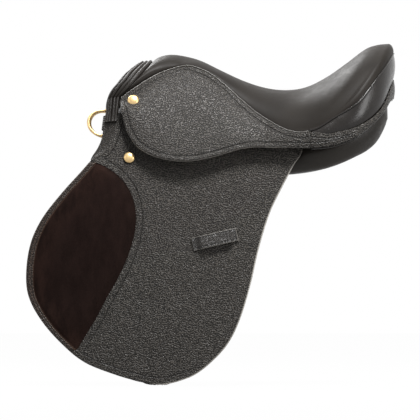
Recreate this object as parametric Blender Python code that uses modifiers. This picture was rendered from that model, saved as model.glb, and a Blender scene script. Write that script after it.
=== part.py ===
"""An all-purpose English saddle: sprung tree, stirrup bars, webs, seat, skirts, flaps, girth straps and panels.

Metres, +Z up. +X runs from the pommel to the cantle, and the near (left) side is at -Y.
Z = 0 is the level of the horse's back under the middle of the seat.
The leather is laid out in layers on three surfaces, each a function below: seat_point for the seat,
flap_point for the side of the saddle, and hoop_point for the arch of the head.
A left-hand piece is modelled, and its right-hand twin is its mirror image.
"""

import math

import bmesh
import bpy
from mathutils import Matrix, Vector

# Clearances
GAP = 0.0010  # between two layers laid on a curved surface
SLIDE = 0.0005  # at a leather edge or a slot that something passes

# Seat and tree, from the rider down: cover, foam, web, rail, spring
SEAT_LEATHER = 0.0020
SEAT_FOAM = 0.0130
WEB = 0.0016
TREE_RAIL = 0.0110
SPRING_STEEL = 0.0024
HEAD_FOAM_SHARE = 0.35  # the foam thins to this share of its thickness over the head
CANTLE_TURN_REACH = 0.0072  # how far behind its rim the cover comes where it turns over the cantle
CANTLE_TURN_DROP = 0.0132  # and how far below it the piped seam lies there
CANTLE_TURN_START = (0.10, 0.50)  # cosines of the angles between which the turn grows from nothing
WELT_RADIUS = 0.0020
RAIL_PLACE = (0.24, 0.79, -0.95, -0.50)  # shares of the seat's length, then angles across it
SPRING_PLACE = (0.26, 0.78, -0.82, -0.62)
CANTLE_PLACE = (0.81, 0.955, -1.15, 1.15)
SEAT_WEB_PLACE = (0.26, 0.86, -0.36, 0.36)
GIRTH_WEB_PLACES = (("front", 0.47, 0.53), ("rear", 0.545, 0.605))
GIRTH_WEB_REACH = 1.00  # angle to which the cross webs go on each side
CHANNEL_FRONT_X = -0.0950
CHANNEL_REAR_X = 0.2150
CHANNEL_HALF_WIDTH = 0.0290
CHANNEL_ROOM = 0.0080  # between the lining of the channel and the tree
CHANNEL_FALL = 0.0060  # from its middle to its sides

# Head of the tree, measured inwards from the flap's face
HEAD_WOOD = 0.0110
HEAD_STEEL = 0.0022
HEAD_FRONT_X = -0.1600
HEAD_REAR_X = -0.1250
HEAD_REACH = 0.76  # share of the arch that the wooden head covers
HEAD_LEAN = 0.55  # how far the head leans back for each metre above HEAD_LEAN_Z
HEAD_LEAN_Z = 0.0600
PLATE_SETBACK = 0.0030  # of the steel plate from the wood's front and rear
PLATE_REACH = 0.62

# Flap layers
FLAP_LEATHER = 0.0040  # doubled and stitched
KNEE_PAD_CROWN = 0.0022  # rise of the suede knee pad above the flap's face
BINDING_WIDTH = 0.0075
FLAP_EDGE_Z = 0.0130  # level of the line on which the flap lifts
FORE_TURN = 0.0300  # how far the front of the flap curves in round the shoulder

# Space between flap and sweat flap, in which the girth straps hang
STRAP_WIDTH = 0.0250
STRAP_LEATHER = 0.0040
STRAP_PITCH = 0.0360
STRAP_TOP_Z = 0.0780
STRAP_LENGTH = 0.3050
STRAP_MIDDLE_X = -0.0300
STRAP_ROOM = 0.0041  # free space on each side of the straps
STRAP_HOLE = 0.0040
STRAP_HOLE_PITCH = 0.0220
STRAP_HOLES = 9
GUARD_LEATHER = 0.0022
GUARD_TOP_Z = 0.0200
GUARD_BOTTOM_Z = -0.0600
GUARD_MARGIN = 0.0060  # by which it is wider than the straps on each side
SWEAT_LEATHER = 0.0030
SWEAT_TOP_Z = 0.0400
SWEAT_BOTTOM_Z = -0.2300
SWEAT_SETBACK = 0.0160  # of its front edge behind the flap's
POINT_TOP_Z = -0.0160
POINT_BOTTOM_Z = -0.2000
POINT_SETBACK = 0.0100  # of the knee cushion from the sweat flap's front edge
POINT_EDGE = 0.0040  # thickness at its edge
POINT_SWELL = 0.0070  # and how much thicker it is in the middle

# Stirrup bar
BAR_PLATE = 0.0030
BAR_STANDOFF = 0.0055  # room for the stirrup leather behind the bar
BAR_THICK = 0.0045
BAR_HEIGHT = 0.0140
BAR_LENGTH = 0.0720
BAR_FRONT_X = -0.1280
BAR_Z = 0.0630
BAR_ARM = 0.0100
CATCH_LENGTH = 0.0200

# Skirt
SKIRT_LEATHER = 0.0030

# Dee, chape and nails
DEE_WIRE = 0.0020  # radius
DEE_DEPTH = 0.0270
CHAPE_LEATHER = 0.0020
NAIL_RADIUS = 0.0090
NAIL_RISE = 0.0038
NAIL_SHANK = 0.0018

# Keeper on the flap
KEEPER_LENGTH = 0.0710
KEEPER_WIDTH = 0.0200
KEEPER_LEATHER = 0.0022
KEEPER_ROOM = 0.0060
KEEPER_TILT = math.radians(13)
KEEPER_X = -0.0158
KEEPER_Z = -0.0990

# Layer depths, worked out from the sizes above
BAR_PLATE_DEPTH = FLAP_LEATHER + GAP
HEAD_DEPTH = BAR_PLATE_DEPTH + BAR_PLATE + 1.5 * GAP
GUARD_DEPTH = FLAP_LEATHER + STRAP_ROOM
STRAP_DEPTH = GUARD_DEPTH + GUARD_LEATHER + GAP
SWEAT_DEPTH = STRAP_DEPTH + STRAP_LEATHER + STRAP_ROOM
FOAM_DEPTH = SEAT_LEATHER + 1.8 * GAP
WEB_DEPTH = FOAM_DEPTH + SEAT_FOAM + GAP
RAIL_DEPTH = WEB_DEPTH + 2 * (WEB + GAP)
SPRING_DEPTH = RAIL_DEPTH + TREE_RAIL + GAP
TREE_UNDERSIDE = SPRING_DEPTH + SPRING_STEEL

# Half-width of the saddle at the flap's face, from the top of the arch down: (half-width, height)
SIDE_PROFILE = [
    (0.000, 0.174), (0.022, 0.171), (0.042, 0.160), (0.058, 0.145), (0.071, 0.128), (0.083, 0.109),
    (0.094, 0.088), (0.104, 0.067), (0.113, 0.045), (0.121, 0.022), (0.129, -0.002), (0.144, -0.050),
    (0.158, -0.100), (0.170, -0.150), (0.179, -0.200), (0.186, -0.250), (0.190, -0.300), (0.192, -0.340),
]
# Flap outline: height, then the front or rear edge's x
FLAP_FRONT = [
    (0.099, -0.166), (0.079, -0.169), (0.056, -0.177), (0.040, -0.185), (0.027, -0.203), (0.006, -0.222),
    (-0.031, -0.255), (-0.068, -0.283), (-0.105, -0.300), (-0.151, -0.307), (-0.188, -0.303),
    (-0.225, -0.283), (-0.262, -0.250), (-0.290, -0.214), (-0.309, -0.165), (-0.319, -0.128), (-0.323, -0.104),
]
FLAP_REAR = [
    (0.099, 0.050), (0.060, 0.105), (0.040, 0.120), (0.015, 0.106), (-0.021, 0.087), (-0.059, 0.069),
    (-0.114, 0.052), (-0.170, 0.039), (-0.225, 0.022), (-0.262, 0.003), (-0.290, -0.023), (-0.309, -0.049),
    (-0.319, -0.076), (-0.323, -0.096),
]
# Rear edge of the suede knee pad
KNEE_EDGE = [
    (0.020, -0.202), (0.014, -0.187), (0.001, -0.168), (-0.014, -0.154), (-0.032, -0.144), (-0.051, -0.139),
    (-0.068, -0.1375), (-0.093, -0.1405), (-0.113, -0.146), (-0.136, -0.1545), (-0.162, -0.167),
    (-0.192, -0.184), (-0.221, -0.199), (-0.249, -0.216), (-0.276, -0.232),
]
# Seat centre line: share of the way from front to back, then x and height
SEAT_CENTRE = [
    (0.00, -0.1135, 0.1760), (0.07, -0.1030, 0.1840), (0.14, -0.0850, 0.1880), (0.22, -0.0620, 0.1855),
    (0.30, -0.0360, 0.1780), (0.38, -0.0050, 0.1630), (0.46, 0.0300, 0.1470), (0.54, 0.0650, 0.1360),
    (0.62, 0.0980, 0.1330), (0.70, 0.1280, 0.1380), (0.78, 0.1600, 0.1540), (0.85, 0.1900, 0.1730),
    (0.92, 0.2200, 0.1930), (1.00, 0.2550, 0.2050),
]
# Seat edge: share, then x, half-width and height
SEAT_EDGE = [
    (0.00, -0.1640, 0.0740, 0.1190), (0.07, -0.1400, 0.0640, 0.1370), (0.14, -0.1100, 0.0510, 0.1560),
    (0.22, -0.0800, 0.0430, 0.1680), (0.30, -0.0550, 0.0440, 0.1720), (0.38, -0.0250, 0.0520, 0.1610),
    (0.46, 0.0000, 0.0620, 0.1420), (0.54, 0.0250, 0.0780, 0.1190), (0.62, 0.0500, 0.0960, 0.0980),
    (0.70, 0.0750, 0.1120, 0.0820), (0.78, 0.0950, 0.1230, 0.0720), (0.85, 0.1095, 0.1280, 0.0685),
    (0.92, 0.1205, 0.1310, 0.0680), (1.00, 0.1285, 0.1325, 0.0700),
]
# Front of the head, from the bottom up: height, x
HEAD_FRONT = [
    (0.000, -0.214), (0.026, -0.207), (0.042, -0.197), (0.057, -0.191), (0.085, -0.187), (0.100, -0.185),
    (0.117, -0.184), (0.134, -0.178), (0.147, -0.168), (0.159, -0.159), (0.167, -0.150), (0.176, -0.138),
]
# Rear edge of the sweat flap, from the top down: height, x
SWEAT_REAR = [
    (0.062, 0.045), (0.000, 0.040), (-0.080, 0.028), (-0.150, 0.016), (-0.200, 0.000), (-0.230, -0.030),
]
# Panel sections: x, inner edge (y, z), outer edge (y, z), thickness, bow
PANEL = [
    (-0.178, 0.031, 0.122, 0.0885, -0.001, 0.017, 0.004), (-0.150, 0.032, 0.118, 0.0895, -0.002, 0.018, 0.004),
    (-0.090, 0.032, 0.108, 0.0900, -0.003, 0.022, 0.003), (-0.030, 0.032, 0.092, 0.0900, -0.003, 0.027, 0.001),
    (0.050, 0.032, 0.076, 0.0920, 0.004, 0.037, 0.001), (0.110, 0.032, 0.070, 0.1030, 0.010, 0.045, 0.002),
    (0.160, 0.032, 0.076, 0.1195, 0.023, 0.053, 0.004), (0.200, 0.032, 0.091, 0.1140, 0.038, 0.052, 0.006),
    (0.232, 0.032, 0.106, 0.0900, 0.055, 0.046, 0.006), (0.2525, 0.034, 0.110, 0.0640, 0.084, 0.034, 0.004),
]
# How round a seat section is: share, exponent of its height and of its sweep along X
SEAT_ROUNDING = [(0.00, 1.10, 1.10), (0.50, 1.20, 1.20), (0.80, 1.25, 0.95), (1.00, 1.06, 0.68)]
# Seam under the cantle: angle round the rim, then x, half-width and height
CANTLE_SEAM = [
    (0.000, 0.2610, 0.0000, 0.1500), (0.120, 0.2608, 0.0155, 0.1488), (0.347, 0.2570, 0.0450, 0.1385),
    (0.708, 0.2430, 0.0885, 0.1065), (0.961, 0.2240, 0.1120, 0.0875), (1.194, 0.1990, 0.1275, 0.0740),
    (1.400, 0.1650, 0.1360, 0.0655), (1.571, 0.1310, 0.1350, 0.0600),
]
# Height of the band below that seam
FACING_HEIGHT = [
    (0.000, 0.0320), (0.120, 0.0310), (0.347, 0.0220), (0.708, 0.0120), (0.961, 0.0125), (1.194, 0.0172),
    (1.400, 0.0210), (1.571, 0.0190),
]
# Line on which the skirt bends when it is lifted, from front to back
SKIRT_BEND = (Vector((-0.1610, -0.1070, 0.0990)), Vector((0.0620, -0.1345, 0.0450)))
SKIRT_SPLIT = 0.0010  # from the bend to each of the two pieces of skirt that meet there
# Lower edge of the skirt: share of the bend line, then x, half-width and height
SKIRT_HEM = [
    (0.00, -0.1600, 0.1080, 0.0955), (0.08, -0.1530, 0.1180, 0.0690), (0.18, -0.1350, 0.1290, 0.0430),
    (0.32, -0.1000, 0.1375, 0.0260), (0.48, -0.0560, 0.1405, 0.0215), (0.64, -0.0150, 0.1390, 0.0290),
    (0.80, 0.0230, 0.1365, 0.0400), (0.92, 0.0460, 0.1350, 0.0430), (1.00, 0.0620, 0.1345, 0.0425),
]


def along(knots, t):
    """The values at t of a smooth curve through knots (t, value, ...), as a list."""
    knots = sorted(knots)
    t = min(max(t, knots[0][0]), knots[-1][0])
    i = max(n for n in range(len(knots) - 1) if knots[n][0] <= t)
    a, b = knots[i], knots[i + 1]
    before = knots[i - 1] if i > 0 else a
    after = knots[i + 2] if i + 2 < len(knots) else b
    span = b[0] - a[0]
    s = (t - a[0]) / span
    values = []
    for n in range(1, len(a)):
        slope_a = (b[n] - before[n]) / (b[0] - before[0]) * span
        slope_b = (after[n] - a[n]) / (after[0] - a[0]) * span
        values.append(
            (2 * s**3 - 3 * s**2 + 1) * a[n]
            + (s**3 - 2 * s**2 + s) * slope_a
            + (3 * s**2 - 2 * s**3) * b[n]
            + (s**3 - s**2) * slope_b
        )
    return values


def ramp(value, start, end):
    """0 before start, 1 after end, and smooth between."""
    s = min(max((value - start) / (end - start), 0), 1)
    return s * s * (3 - 2 * s)


def mix(a, b, share):
    return a + (b - a) * share


def side_width(z):
    """Half-width of the flap's face at a height below the top of the arch."""
    return along([(height, width) for width, height in SIDE_PROFILE[2:]], z)[0]


def flap_width(x, z):
    """Half-width of the flap's face, with its front curved in round the shoulder."""
    forward = max(0, -x - 0.060) / 0.250
    return side_width(z) - FORE_TURN * forward**2 * ramp(-z, 0.020, 0.200)


def flap_point(x, z, depth=0):
    """A point on the near side, at a depth inside the flap's face."""
    step = 0.002
    across = (flap_width(x, z + step) - flap_width(x, z - step)) / (2 * step)
    along_x = (flap_width(x + step, z) - flap_width(x - step, z)) / (2 * step)
    lean = math.sqrt(1 + across**2 + along_x**2)
    return Vector((x, -flap_width(x, z) + depth * lean, z))


def hoop_profile(turn):
    """(y, z) of the arch at the flap's face, and its outward normal. turn runs from -1 at the near tip to 1."""
    knots = [(n, y, z) for n, (y, z) in enumerate(SIDE_PROFILE)]
    knots = [(-n, -y, z) for n, y, z in knots[:0:-1]] + knots
    tip = 9.6
    here, step = turn * tip, 0.01
    y, z = along(knots, here)
    y0, z0 = along(knots, here - step)
    y1, z1 = along(knots, here + step)
    tangent = Vector((y1 - y0, z1 - z0)).normalized()
    return y, z, Vector((-tangent[1], tangent[0]))


def hoop_point(turn, depth):
    """(y, z) on the arch at a depth inside the flap's face."""
    y, z, normal = hoop_profile(turn)
    return y - normal[0] * depth, z - normal[1] * depth


def seat_surface(share, angle):
    """A point of the seat's face. share runs from the front edge to the rim, angle from side to side."""
    centre_x, centre_z = along(SEAT_CENTRE, share)
    edge_x, half_width, edge_z = along(SEAT_EDGE, share)
    height, sweep = along(SEAT_ROUNDING, share)
    c = max(math.cos(angle), 0)
    return Vector(
        (
            edge_x + (centre_x - edge_x) * c**sweep,
            half_width * math.sin(angle),
            edge_z + (centre_z - edge_z) * c**height,
        )
    )


def rim_point(v):
    """A point on the seat's rim, from the near corner round the cantle to the off corner."""
    return seat_surface(1, mix(-math.pi / 2, math.pi / 2, v))


def outwards(place):
    """The level direction out of the cantle at a place on it."""
    return Vector((place.x - 0.10, place.y, 0)).normalized()


def cantle_turn(v, t):
    """The cover turned over the top of the cantle, t from the rim to the piped seam behind it."""
    rim = rim_point(v)
    full = ramp(math.cos(mix(-math.pi / 2, math.pi / 2, v)), *CANTLE_TURN_START)
    turn = t * math.pi / 2
    reach = mix(SLIDE, CANTLE_TURN_REACH, full) * math.sin(turn)
    drop = mix(2 * SLIDE, CANTLE_TURN_DROP, full) * (1 - math.cos(turn))
    return rim + outwards(rim) * reach - Vector((0, 0, drop))


def past_turn(v, distance):
    """A point that far beyond the end of the cover, below it at the back and behind it at the sides."""
    angle = mix(-math.pi / 2, math.pi / 2, v)
    full = ramp(math.cos(angle), *CANTLE_TURN_START)
    behind = (seat_surface(1, angle) - seat_surface(0.97, angle)).normalized()
    way = behind.lerp(Vector((0, 0, -1)), full).normalized()
    return cantle_turn(v, 1) + way * distance


def seat_point(share, angle, depth=0):
    """A point at a depth under the seat's face."""
    step = 0.01
    here = min(max(share, step), 1 - step)
    turn = min(max(angle, -math.pi / 2 + 2 * step), math.pi / 2 - 2 * step)
    lengthwise = seat_surface(here + step, turn) - seat_surface(here - step, turn)
    crosswise = seat_surface(here, turn + step) - seat_surface(here, turn - step)
    normal = lengthwise.cross(crosswise).normalized()
    return seat_surface(share, angle) - normal * depth


# Making and placing


def finish(obj, material, smooth_angle=40):
    """Material and smooth shading, and the object's place in the saddle's collection."""
    colour, roughness, metallic = MATERIALS[material]
    made = bpy.data.materials.get(material)
    if made is None:
        made = bpy.data.materials.new(material)
        made.use_nodes = True
        shader = made.node_tree.nodes["Principled BSDF"]
        shader.inputs["Base Color"].default_value = (*colour, 1)
        shader.inputs["Roughness"].default_value = roughness
        shader.inputs["Metallic"].default_value = metallic
    obj.data.materials.append(made)
    if obj.type == "MESH":
        obj.data.shade_smooth()
        obj.data.set_sharp_from_angle(angle=math.radians(smooth_angle))
    saddle.objects.link(obj)
    return obj


def from_bmesh(name, bm, material):
    mesh = bpy.data.meshes.new(name)
    bm.to_mesh(mesh)
    bm.free()
    return finish(bpy.data.objects.new(name, mesh), material)


def sheet(name, at, columns, rows, thickness, material):
    """Leather or board: a grid laid on a surface by at(u, v), made thick on its inner side."""
    bm = bmesh.new()
    bmesh.ops.create_grid(bm, x_segments=columns, y_segments=rows, size=0.5)
    for vertex in bm.verts:
        vertex.co = at(vertex.co.x + 0.5, vertex.co.y + 0.5)
    bmesh.ops.remove_doubles(bm, verts=bm.verts, dist=0.00005)
    obj = from_bmesh(name, bm, material)
    solid = obj.modifiers.new("Thickness", "SOLIDIFY")
    solid.thickness = thickness
    solid.offset = -1
    solid.use_even_offset = True
    return obj


def slab(name, outer, inner, columns, rows, material):
    """A padded piece between two unlike faces, outer(u, v) and inner(u, v), joined round its edge."""
    bm = bmesh.new()
    bmesh.ops.create_grid(bm, x_segments=columns, y_segments=rows, size=0.5)
    places = [(v.co.x + 0.5, v.co.y + 0.5) for v in bm.verts]
    front = list(bm.verts)
    rim = [e for e in bm.edges if e.is_boundary]
    copy = bmesh.ops.duplicate(bm, geom=bm.verts[:] + bm.edges[:] + bm.faces[:])
    back = [copy["vert_map"][v] for v in front]
    bmesh.ops.reverse_faces(bm, faces=[f for f in copy["geom"] if isinstance(f, bmesh.types.BMFace)])
    back_rim = [e for e in copy["geom"] if isinstance(e, bmesh.types.BMEdge) and e.is_boundary]
    bmesh.ops.bridge_loops(bm, edges=rim + back_rim)
    for (u, v), near, far in zip(places, front, back):
        near.co = outer(u, v)
        far.co = inner(u, v)
    bmesh.ops.recalc_face_normals(bm, faces=bm.faces)
    return from_bmesh(name, bm, material)


def loft(name, sections, material):
    """A closed body through rings of points that all have the same count."""
    bm = bmesh.new()
    rings = [[bm.verts.new(p) for p in ring] for ring in sections]
    for first, second in zip(rings, rings[1:]):
        for n in range(len(first)):
            after = (n + 1) % len(first)
            bm.faces.new((first[n], first[after], second[after], second[n]))
    bm.faces.new(rings[0])
    bm.faces.new(rings[-1])
    bmesh.ops.recalc_face_normals(bm, faces=bm.faces)
    return from_bmesh(name, bm, material)


def block(name, low, high, material, bevel=0.0):
    """A box between two corners, with its edges rounded."""
    low, high = Vector(low), Vector(high)
    bm = bmesh.new()
    bmesh.ops.create_cube(bm, size=1)
    bmesh.ops.scale(bm, vec=high - low, verts=bm.verts)
    bmesh.ops.translate(bm, vec=(low + high) / 2, verts=bm.verts)
    obj = from_bmesh(name, bm, material)
    if bevel:
        round_edges(obj, bevel)
    return obj


def round_edges(obj, width, segments=1):
    bevel = obj.modifiers.new("Rounding", "BEVEL")
    bevel.width = width
    bevel.segments = segments
    bevel.limit_method = "ANGLE"
    bevel.angle_limit = math.radians(50)


def boolean(obj, other, operation):
    """Cuts obj with other or joins it to obj, and hides other as a cutter."""
    cut = obj.modifiers.new("Cut", "BOOLEAN")
    cut.operation = operation
    cut.object = other
    saddle.objects.unlink(other)
    cutters.objects.link(other)
    other.hide_render = True
    other.display_type = "WIRE"


def baked(obj):
    """Turns an object's modifiers, or a curve's tube, into a plain mesh."""
    graph = bpy.context.evaluated_depsgraph_get()
    mesh = bpy.data.meshes.new_from_object(obj.evaluated_get(graph))
    bm = bmesh.new()
    bm.from_mesh(mesh)
    bmesh.ops.remove_doubles(bm, verts=bm.verts, dist=0.00001)
    bm.to_mesh(mesh)
    bm.free()
    name = obj.name
    material = obj.data.materials[0].name
    mesh.materials.clear()
    placed = obj.matrix_world.copy()
    bpy.data.objects.remove(obj)
    made = bpy.data.objects.new(name, mesh)
    made.matrix_world = placed
    return finish(made, material)


def turned(name, profile, steps, material):
    """A solid turned about its own Z axis from (radius, height) points listed from top to bottom."""
    bm = bmesh.new()
    points = [bm.verts.new((r, 0, z)) for r, z in profile]
    for a, b in zip(points, points[1:]):
        bm.edges.new((a, b))
    obj = from_bmesh(name, bm, material)
    screw = obj.modifiers.new("Turn", "SCREW")
    screw.steps = screw.render_steps = steps
    screw.use_merge_vertices = True
    screw.merge_threshold = 0.00005
    return baked(obj)


def mirrored(obj):
    """The right-hand twin of a left-hand piece."""
    twin = obj.copy()
    twin.data = obj.data.copy()
    twin.name = obj.name.replace("left", "right")
    twin.data.transform(obj.matrix_world)
    twin.data.transform(Matrix.Scale(-1, 4, (0, 1, 0)))
    twin.data.flip_normals()
    twin.matrix_world = Matrix.Identity(4)
    saddle.objects.link(twin)
    for modifier in twin.modifiers:
        if modifier.type == "BOOLEAN":
            cutter = modifier.object
            other = cutter.copy()
            other.data = cutter.data.copy()
            other.data.transform(cutter.matrix_world)
            other.data.transform(Matrix.Scale(-1, 4, (0, 1, 0)))
            other.data.flip_normals()
            other.matrix_world = Matrix.Identity(4)
            other.name = cutter.name.replace("left", "right")
            cutters.objects.link(other)
            modifier.object = other
    return twin


def hinge(name, place, pieces):
    """An empty on a joint's axis, and the pieces that move with it."""
    empty = bpy.data.objects.new(name, None)
    empty.location = place
    empty.empty_display_size = 0.02
    saddle.objects.link(empty)
    bpy.context.view_layer.update()
    for piece in pieces:
        world = piece.matrix_world.copy()
        piece.parent = empty
        piece.matrix_parent_inverse = empty.matrix_world.inverted()
        piece.matrix_basis = world
    return empty


# Seat and tree


def seat_patch(start, end, left, right, depth):
    """Part of the seat's face as a function of (u, v): from share start to end, angle left to right."""
    return lambda u, v: seat_point(mix(start, end, u), mix(left, right, v), depth)


def make_seat():
    full = math.pi / 2
    wrap = 0.10

    def cover(u, v):
        if u <= 1 - wrap:
            return seat_point(u / (1 - wrap), mix(-full, full, v))
        return cantle_turn(v, (u - 1 + wrap) / wrap)

    sheet("seat_leather", cover, 20, 14, SEAT_LEATHER, "seat leather")

    def foam_top(u, v):
        return seat_point(mix(0.03, 0.97, u), mix(-1.12, 1.12, v), FOAM_DEPTH)

    def foam_base(u, v):
        share = mix(0.03, 0.97, u)
        thickness = SEAT_FOAM * mix(HEAD_FOAM_SHARE, 1, ramp(share, 0.06, 0.20))
        return seat_point(share, mix(-1.12, 1.12, v), FOAM_DEPTH + thickness)

    slab("seat_foam", foam_top, foam_base, 16, 10, "foam")


def make_webs():
    sheet("seat_web", seat_patch(*SEAT_WEB_PLACE, WEB_DEPTH), 10, 4, WEB, "webbing")
    for name, start, end in GIRTH_WEB_PLACES:
        across = seat_patch(start, end, -GIRTH_WEB_REACH, GIRTH_WEB_REACH, WEB_DEPTH + WEB + GAP)
        sheet(f"girth_web_{name}", across, 1, 20, WEB, "webbing")


def make_tree():
    rail = sheet("tree_rail_left", seat_patch(*RAIL_PLACE, RAIL_DEPTH), 10, 3, TREE_RAIL, "beech")
    mirrored(rail)
    strip = seat_patch(*SPRING_PLACE, SPRING_DEPTH)
    mirrored(sheet("spring_left", strip, 10, 1, SPRING_STEEL, "spring steel"))
    sheet("tree_cantle", seat_patch(*CANTLE_PLACE, RAIL_DEPTH), 3, 16, TREE_RAIL, "beech")

    def hoop(reach, front, rear, depth):
        def at(u, v):
            y, z = hoop_point(mix(-reach, reach, v), depth)
            lean_back = HEAD_LEAN * max(0, z - HEAD_LEAN_Z)
            return Vector((mix(front, rear, u) + lean_back, y, z))

        return at

    sheet("tree_head", hoop(HEAD_REACH, HEAD_FRONT_X, HEAD_REAR_X, HEAD_DEPTH), 1, 22, HEAD_WOOD, "beech")
    steel_depth = HEAD_DEPTH + HEAD_WOOD + GAP
    plate = hoop(PLATE_REACH, HEAD_FRONT_X + PLATE_SETBACK, HEAD_REAR_X - PLATE_SETBACK, steel_depth)
    sheet("gullet_plate", plate, 1, 22, HEAD_STEEL, "spring steel")


def make_channel():
    def at(u, v):
        x = mix(CHANNEL_FRONT_X, CHANNEL_REAR_X, u)
        share = along([(p[1], p[0]) for p in SEAT_CENTRE], x)[0]
        top = along(SEAT_CENTRE, share)[1] - TREE_UNDERSIDE - CHANNEL_ROOM
        side = 2 * v - 1
        return Vector((x, CHANNEL_HALF_WIDTH * side, top - CHANNEL_FALL * abs(side)))

    sheet("channel_lining", at, 12, 2, SWEAT_LEATHER, "lining leather")


# Outside of the seat


def make_bands():
    """The two bands over the front of the head, side by side."""
    leg = 0.16

    def rear_edge(v):
        """Rear edge of the rear band: up one leg, along the front edge of the seat, and down the other."""
        if leg <= v <= 1 - leg:
            return seat_surface(0, mix(-math.pi / 2, math.pi / 2, (v - leg) / (1 - 2 * leg)))
        down = (leg - v) / leg if v < leg else (v - 1 + leg) / leg
        side = -1 if v < leg else 1
        height = mix(SEAT_EDGE[0][3], 0.083, down)
        width = mix(SEAT_EDGE[0][2], side_width(0.083) + 0.0035, down)
        return Vector((mix(SEAT_EDGE[0][1], -0.168, down), side * width, height))

    def band(start, end, drop_start, drop_end):
        def at(u, v):
            edge = rear_edge(v)
            reach = edge.x - along(HEAD_FRONT, edge.z)[0]
            inwards = Vector((0, -edge.y, 0.060 - edge.z)).normalized()
            drop = mix(drop_start, drop_end, u * u) - 0.0015 * math.sin(math.pi * u)
            return edge + Vector((-mix(start, end, u) * reach, 0, 0)) + inwards * drop

        return at

    sheet("pommel_band_rear", band(0.05, 0.44, 0.0, 0.0010), 3, 26, SEAT_LEATHER, "seat leather")
    sheet("pommel_band_front", band(0.57, 1.0, 0.0010, 0.0085), 3, 26, SEAT_LEATHER, "seat leather")


def make_facing_legs():
    """The smooth facing below each end of the bands, tucked behind the flap's front edge."""

    def at(u, v):
        z = mix(0.026, 0.0815, v)
        front = along(HEAD_FRONT, z)[0]
        rear = max(along(FLAP_FRONT, z)[0] + 0.0080, front + 0.0060)
        return flap_point(mix(front, rear, u), z, mix(0.0120, BAR_PLATE_DEPTH, min(1, 2.2 * u) ** 0.5))

    mirrored(sheet("facing_leg_left", at, 5, 4, SEAT_LEATHER, "seat leather"))


def cantle_seam(v, drop=0.0):
    """A point on the seam under the cantle, or that far down the band below it."""
    turn = mix(-math.pi / 2, math.pi / 2, v)
    x, half_width, height = along(CANTLE_SEAM, abs(turn))
    return Vector((x, half_width * (-1 if turn < 0 else 1), height - drop * along(FACING_HEIGHT, abs(turn))[0]))


def make_cantle():
    welt = bpy.data.curves.new("seat_welt", "CURVE")
    welt.dimensions = "3D"
    welt.bevel_depth = WELT_RADIUS
    welt.bevel_resolution = 1
    welt.use_fill_caps = True
    line = welt.splines.new("POLY")
    count = 36
    line.points.add(count)
    for n in range(count + 1):
        line.points[n].co = (*past_turn(mix(0.02, 0.98, n / count), WELT_RADIUS + 2 * GAP), 1)
    baked(finish(bpy.data.objects.new("seat_welt", welt), "seat leather"))

    def facing(u, v):
        v = mix(0.080, 0.920, v)
        low = cantle_seam(v, -0.16)
        place = past_turn(v, 2 * WELT_RADIUS + 4 * GAP).lerp(low, u)
        return place + outwards(place) * (0.0020 * math.sin(math.pi * u))

    sheet("cantle_facing", lambda u, v: facing(1 - u, v), 4, 24, SEAT_LEATHER, "seat leather")

    def strip(u, v):
        place = cantle_seam(v, u)
        return place + outwards(place) * (0.0015 * math.sin(math.pi * u))

    sheet("cantle_strip", lambda u, v: strip(1 - u, v), 2, 24, SEAT_LEATHER, "grain leather")


# Side of the saddle


def bend_point(u):
    return SKIRT_BEND[0].lerp(SKIRT_BEND[1], u)


def make_skirt():
    def upper(u, v):
        share = mix(0.0, 0.66, u)
        x, half_width, height = along(SEAT_EDGE, share)
        top = Vector((x, -half_width - 0.0022, height - 0.0040))
        place = top.lerp(bend_point(u) + Vector((0, 0.0004, SKIRT_SPLIT)), v)
        return place + Vector((0, -0.0035 * math.sin(math.pi * v), 0))

    def lower(u, v):
        x, half_width, height = along(SKIRT_HEM, u)
        hem = Vector((x, -half_width, height))
        place = (bend_point(u) - Vector((0, 0, SKIRT_SPLIT))).lerp(hem, v)
        return place + Vector((0, -0.0030 * math.sin(math.pi * v) * math.sin(math.pi * u), 0))

    def tail(u, v):
        x, half_width, height = along(SEAT_EDGE, mix(0.640, 0.97, u))
        top = Vector((x, -half_width - 0.0022, height - 0.0040))
        place = top.lerp(Vector((mix(0.052, 0.119, u), -0.1345, mix(0.0485, 0.0420, u))), v)
        return place + Vector((0, -0.0035 * math.sin(math.pi * v) * (1 - u), 0))

    fixed = sheet("skirt_top_left", lambda u, v: upper(u, 1 - v), 14, 3, SKIRT_LEATHER, "grain leather")
    leaf = sheet("skirt_left", lambda u, v: lower(u, 1 - v), 16, 5, SKIRT_LEATHER, "grain leather")
    rear = sheet("skirt_tail_left", lambda u, v: tail(u, 1 - v), 4, 3, SKIRT_LEATHER, "grain leather")
    boolean(fixed, rear, "UNION")
    right = [mirrored(piece) for piece in (fixed, leaf)][1]
    hinge("skirt_lift_left", bend_point(0.5), [leaf])
    hinge("skirt_lift_right", Vector((bend_point(0.5).x, -bend_point(0.5).y, bend_point(0.5).z)), [right])


def flap_patch(top, bottom, depth=0.0, front=None, rear=None, front_inset=0.0, rear_inset=0.0, crown=0.0):
    """Part of the flap's surface as a function of (u, v), between two heights and its two edges."""
    front = front or FLAP_FRONT
    rear = rear or FLAP_REAR

    def at(u, v):
        z = mix(bottom, top, v)
        x = mix(along(front, z)[0] + front_inset, along(rear, z)[0] - rear_inset, u)
        puff = crown * min(1, 6 * min(u, 1 - u)) * min(1, 8 * min(v, 1 - v))
        return flap_point(x, z, depth - puff)

    return at


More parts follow.
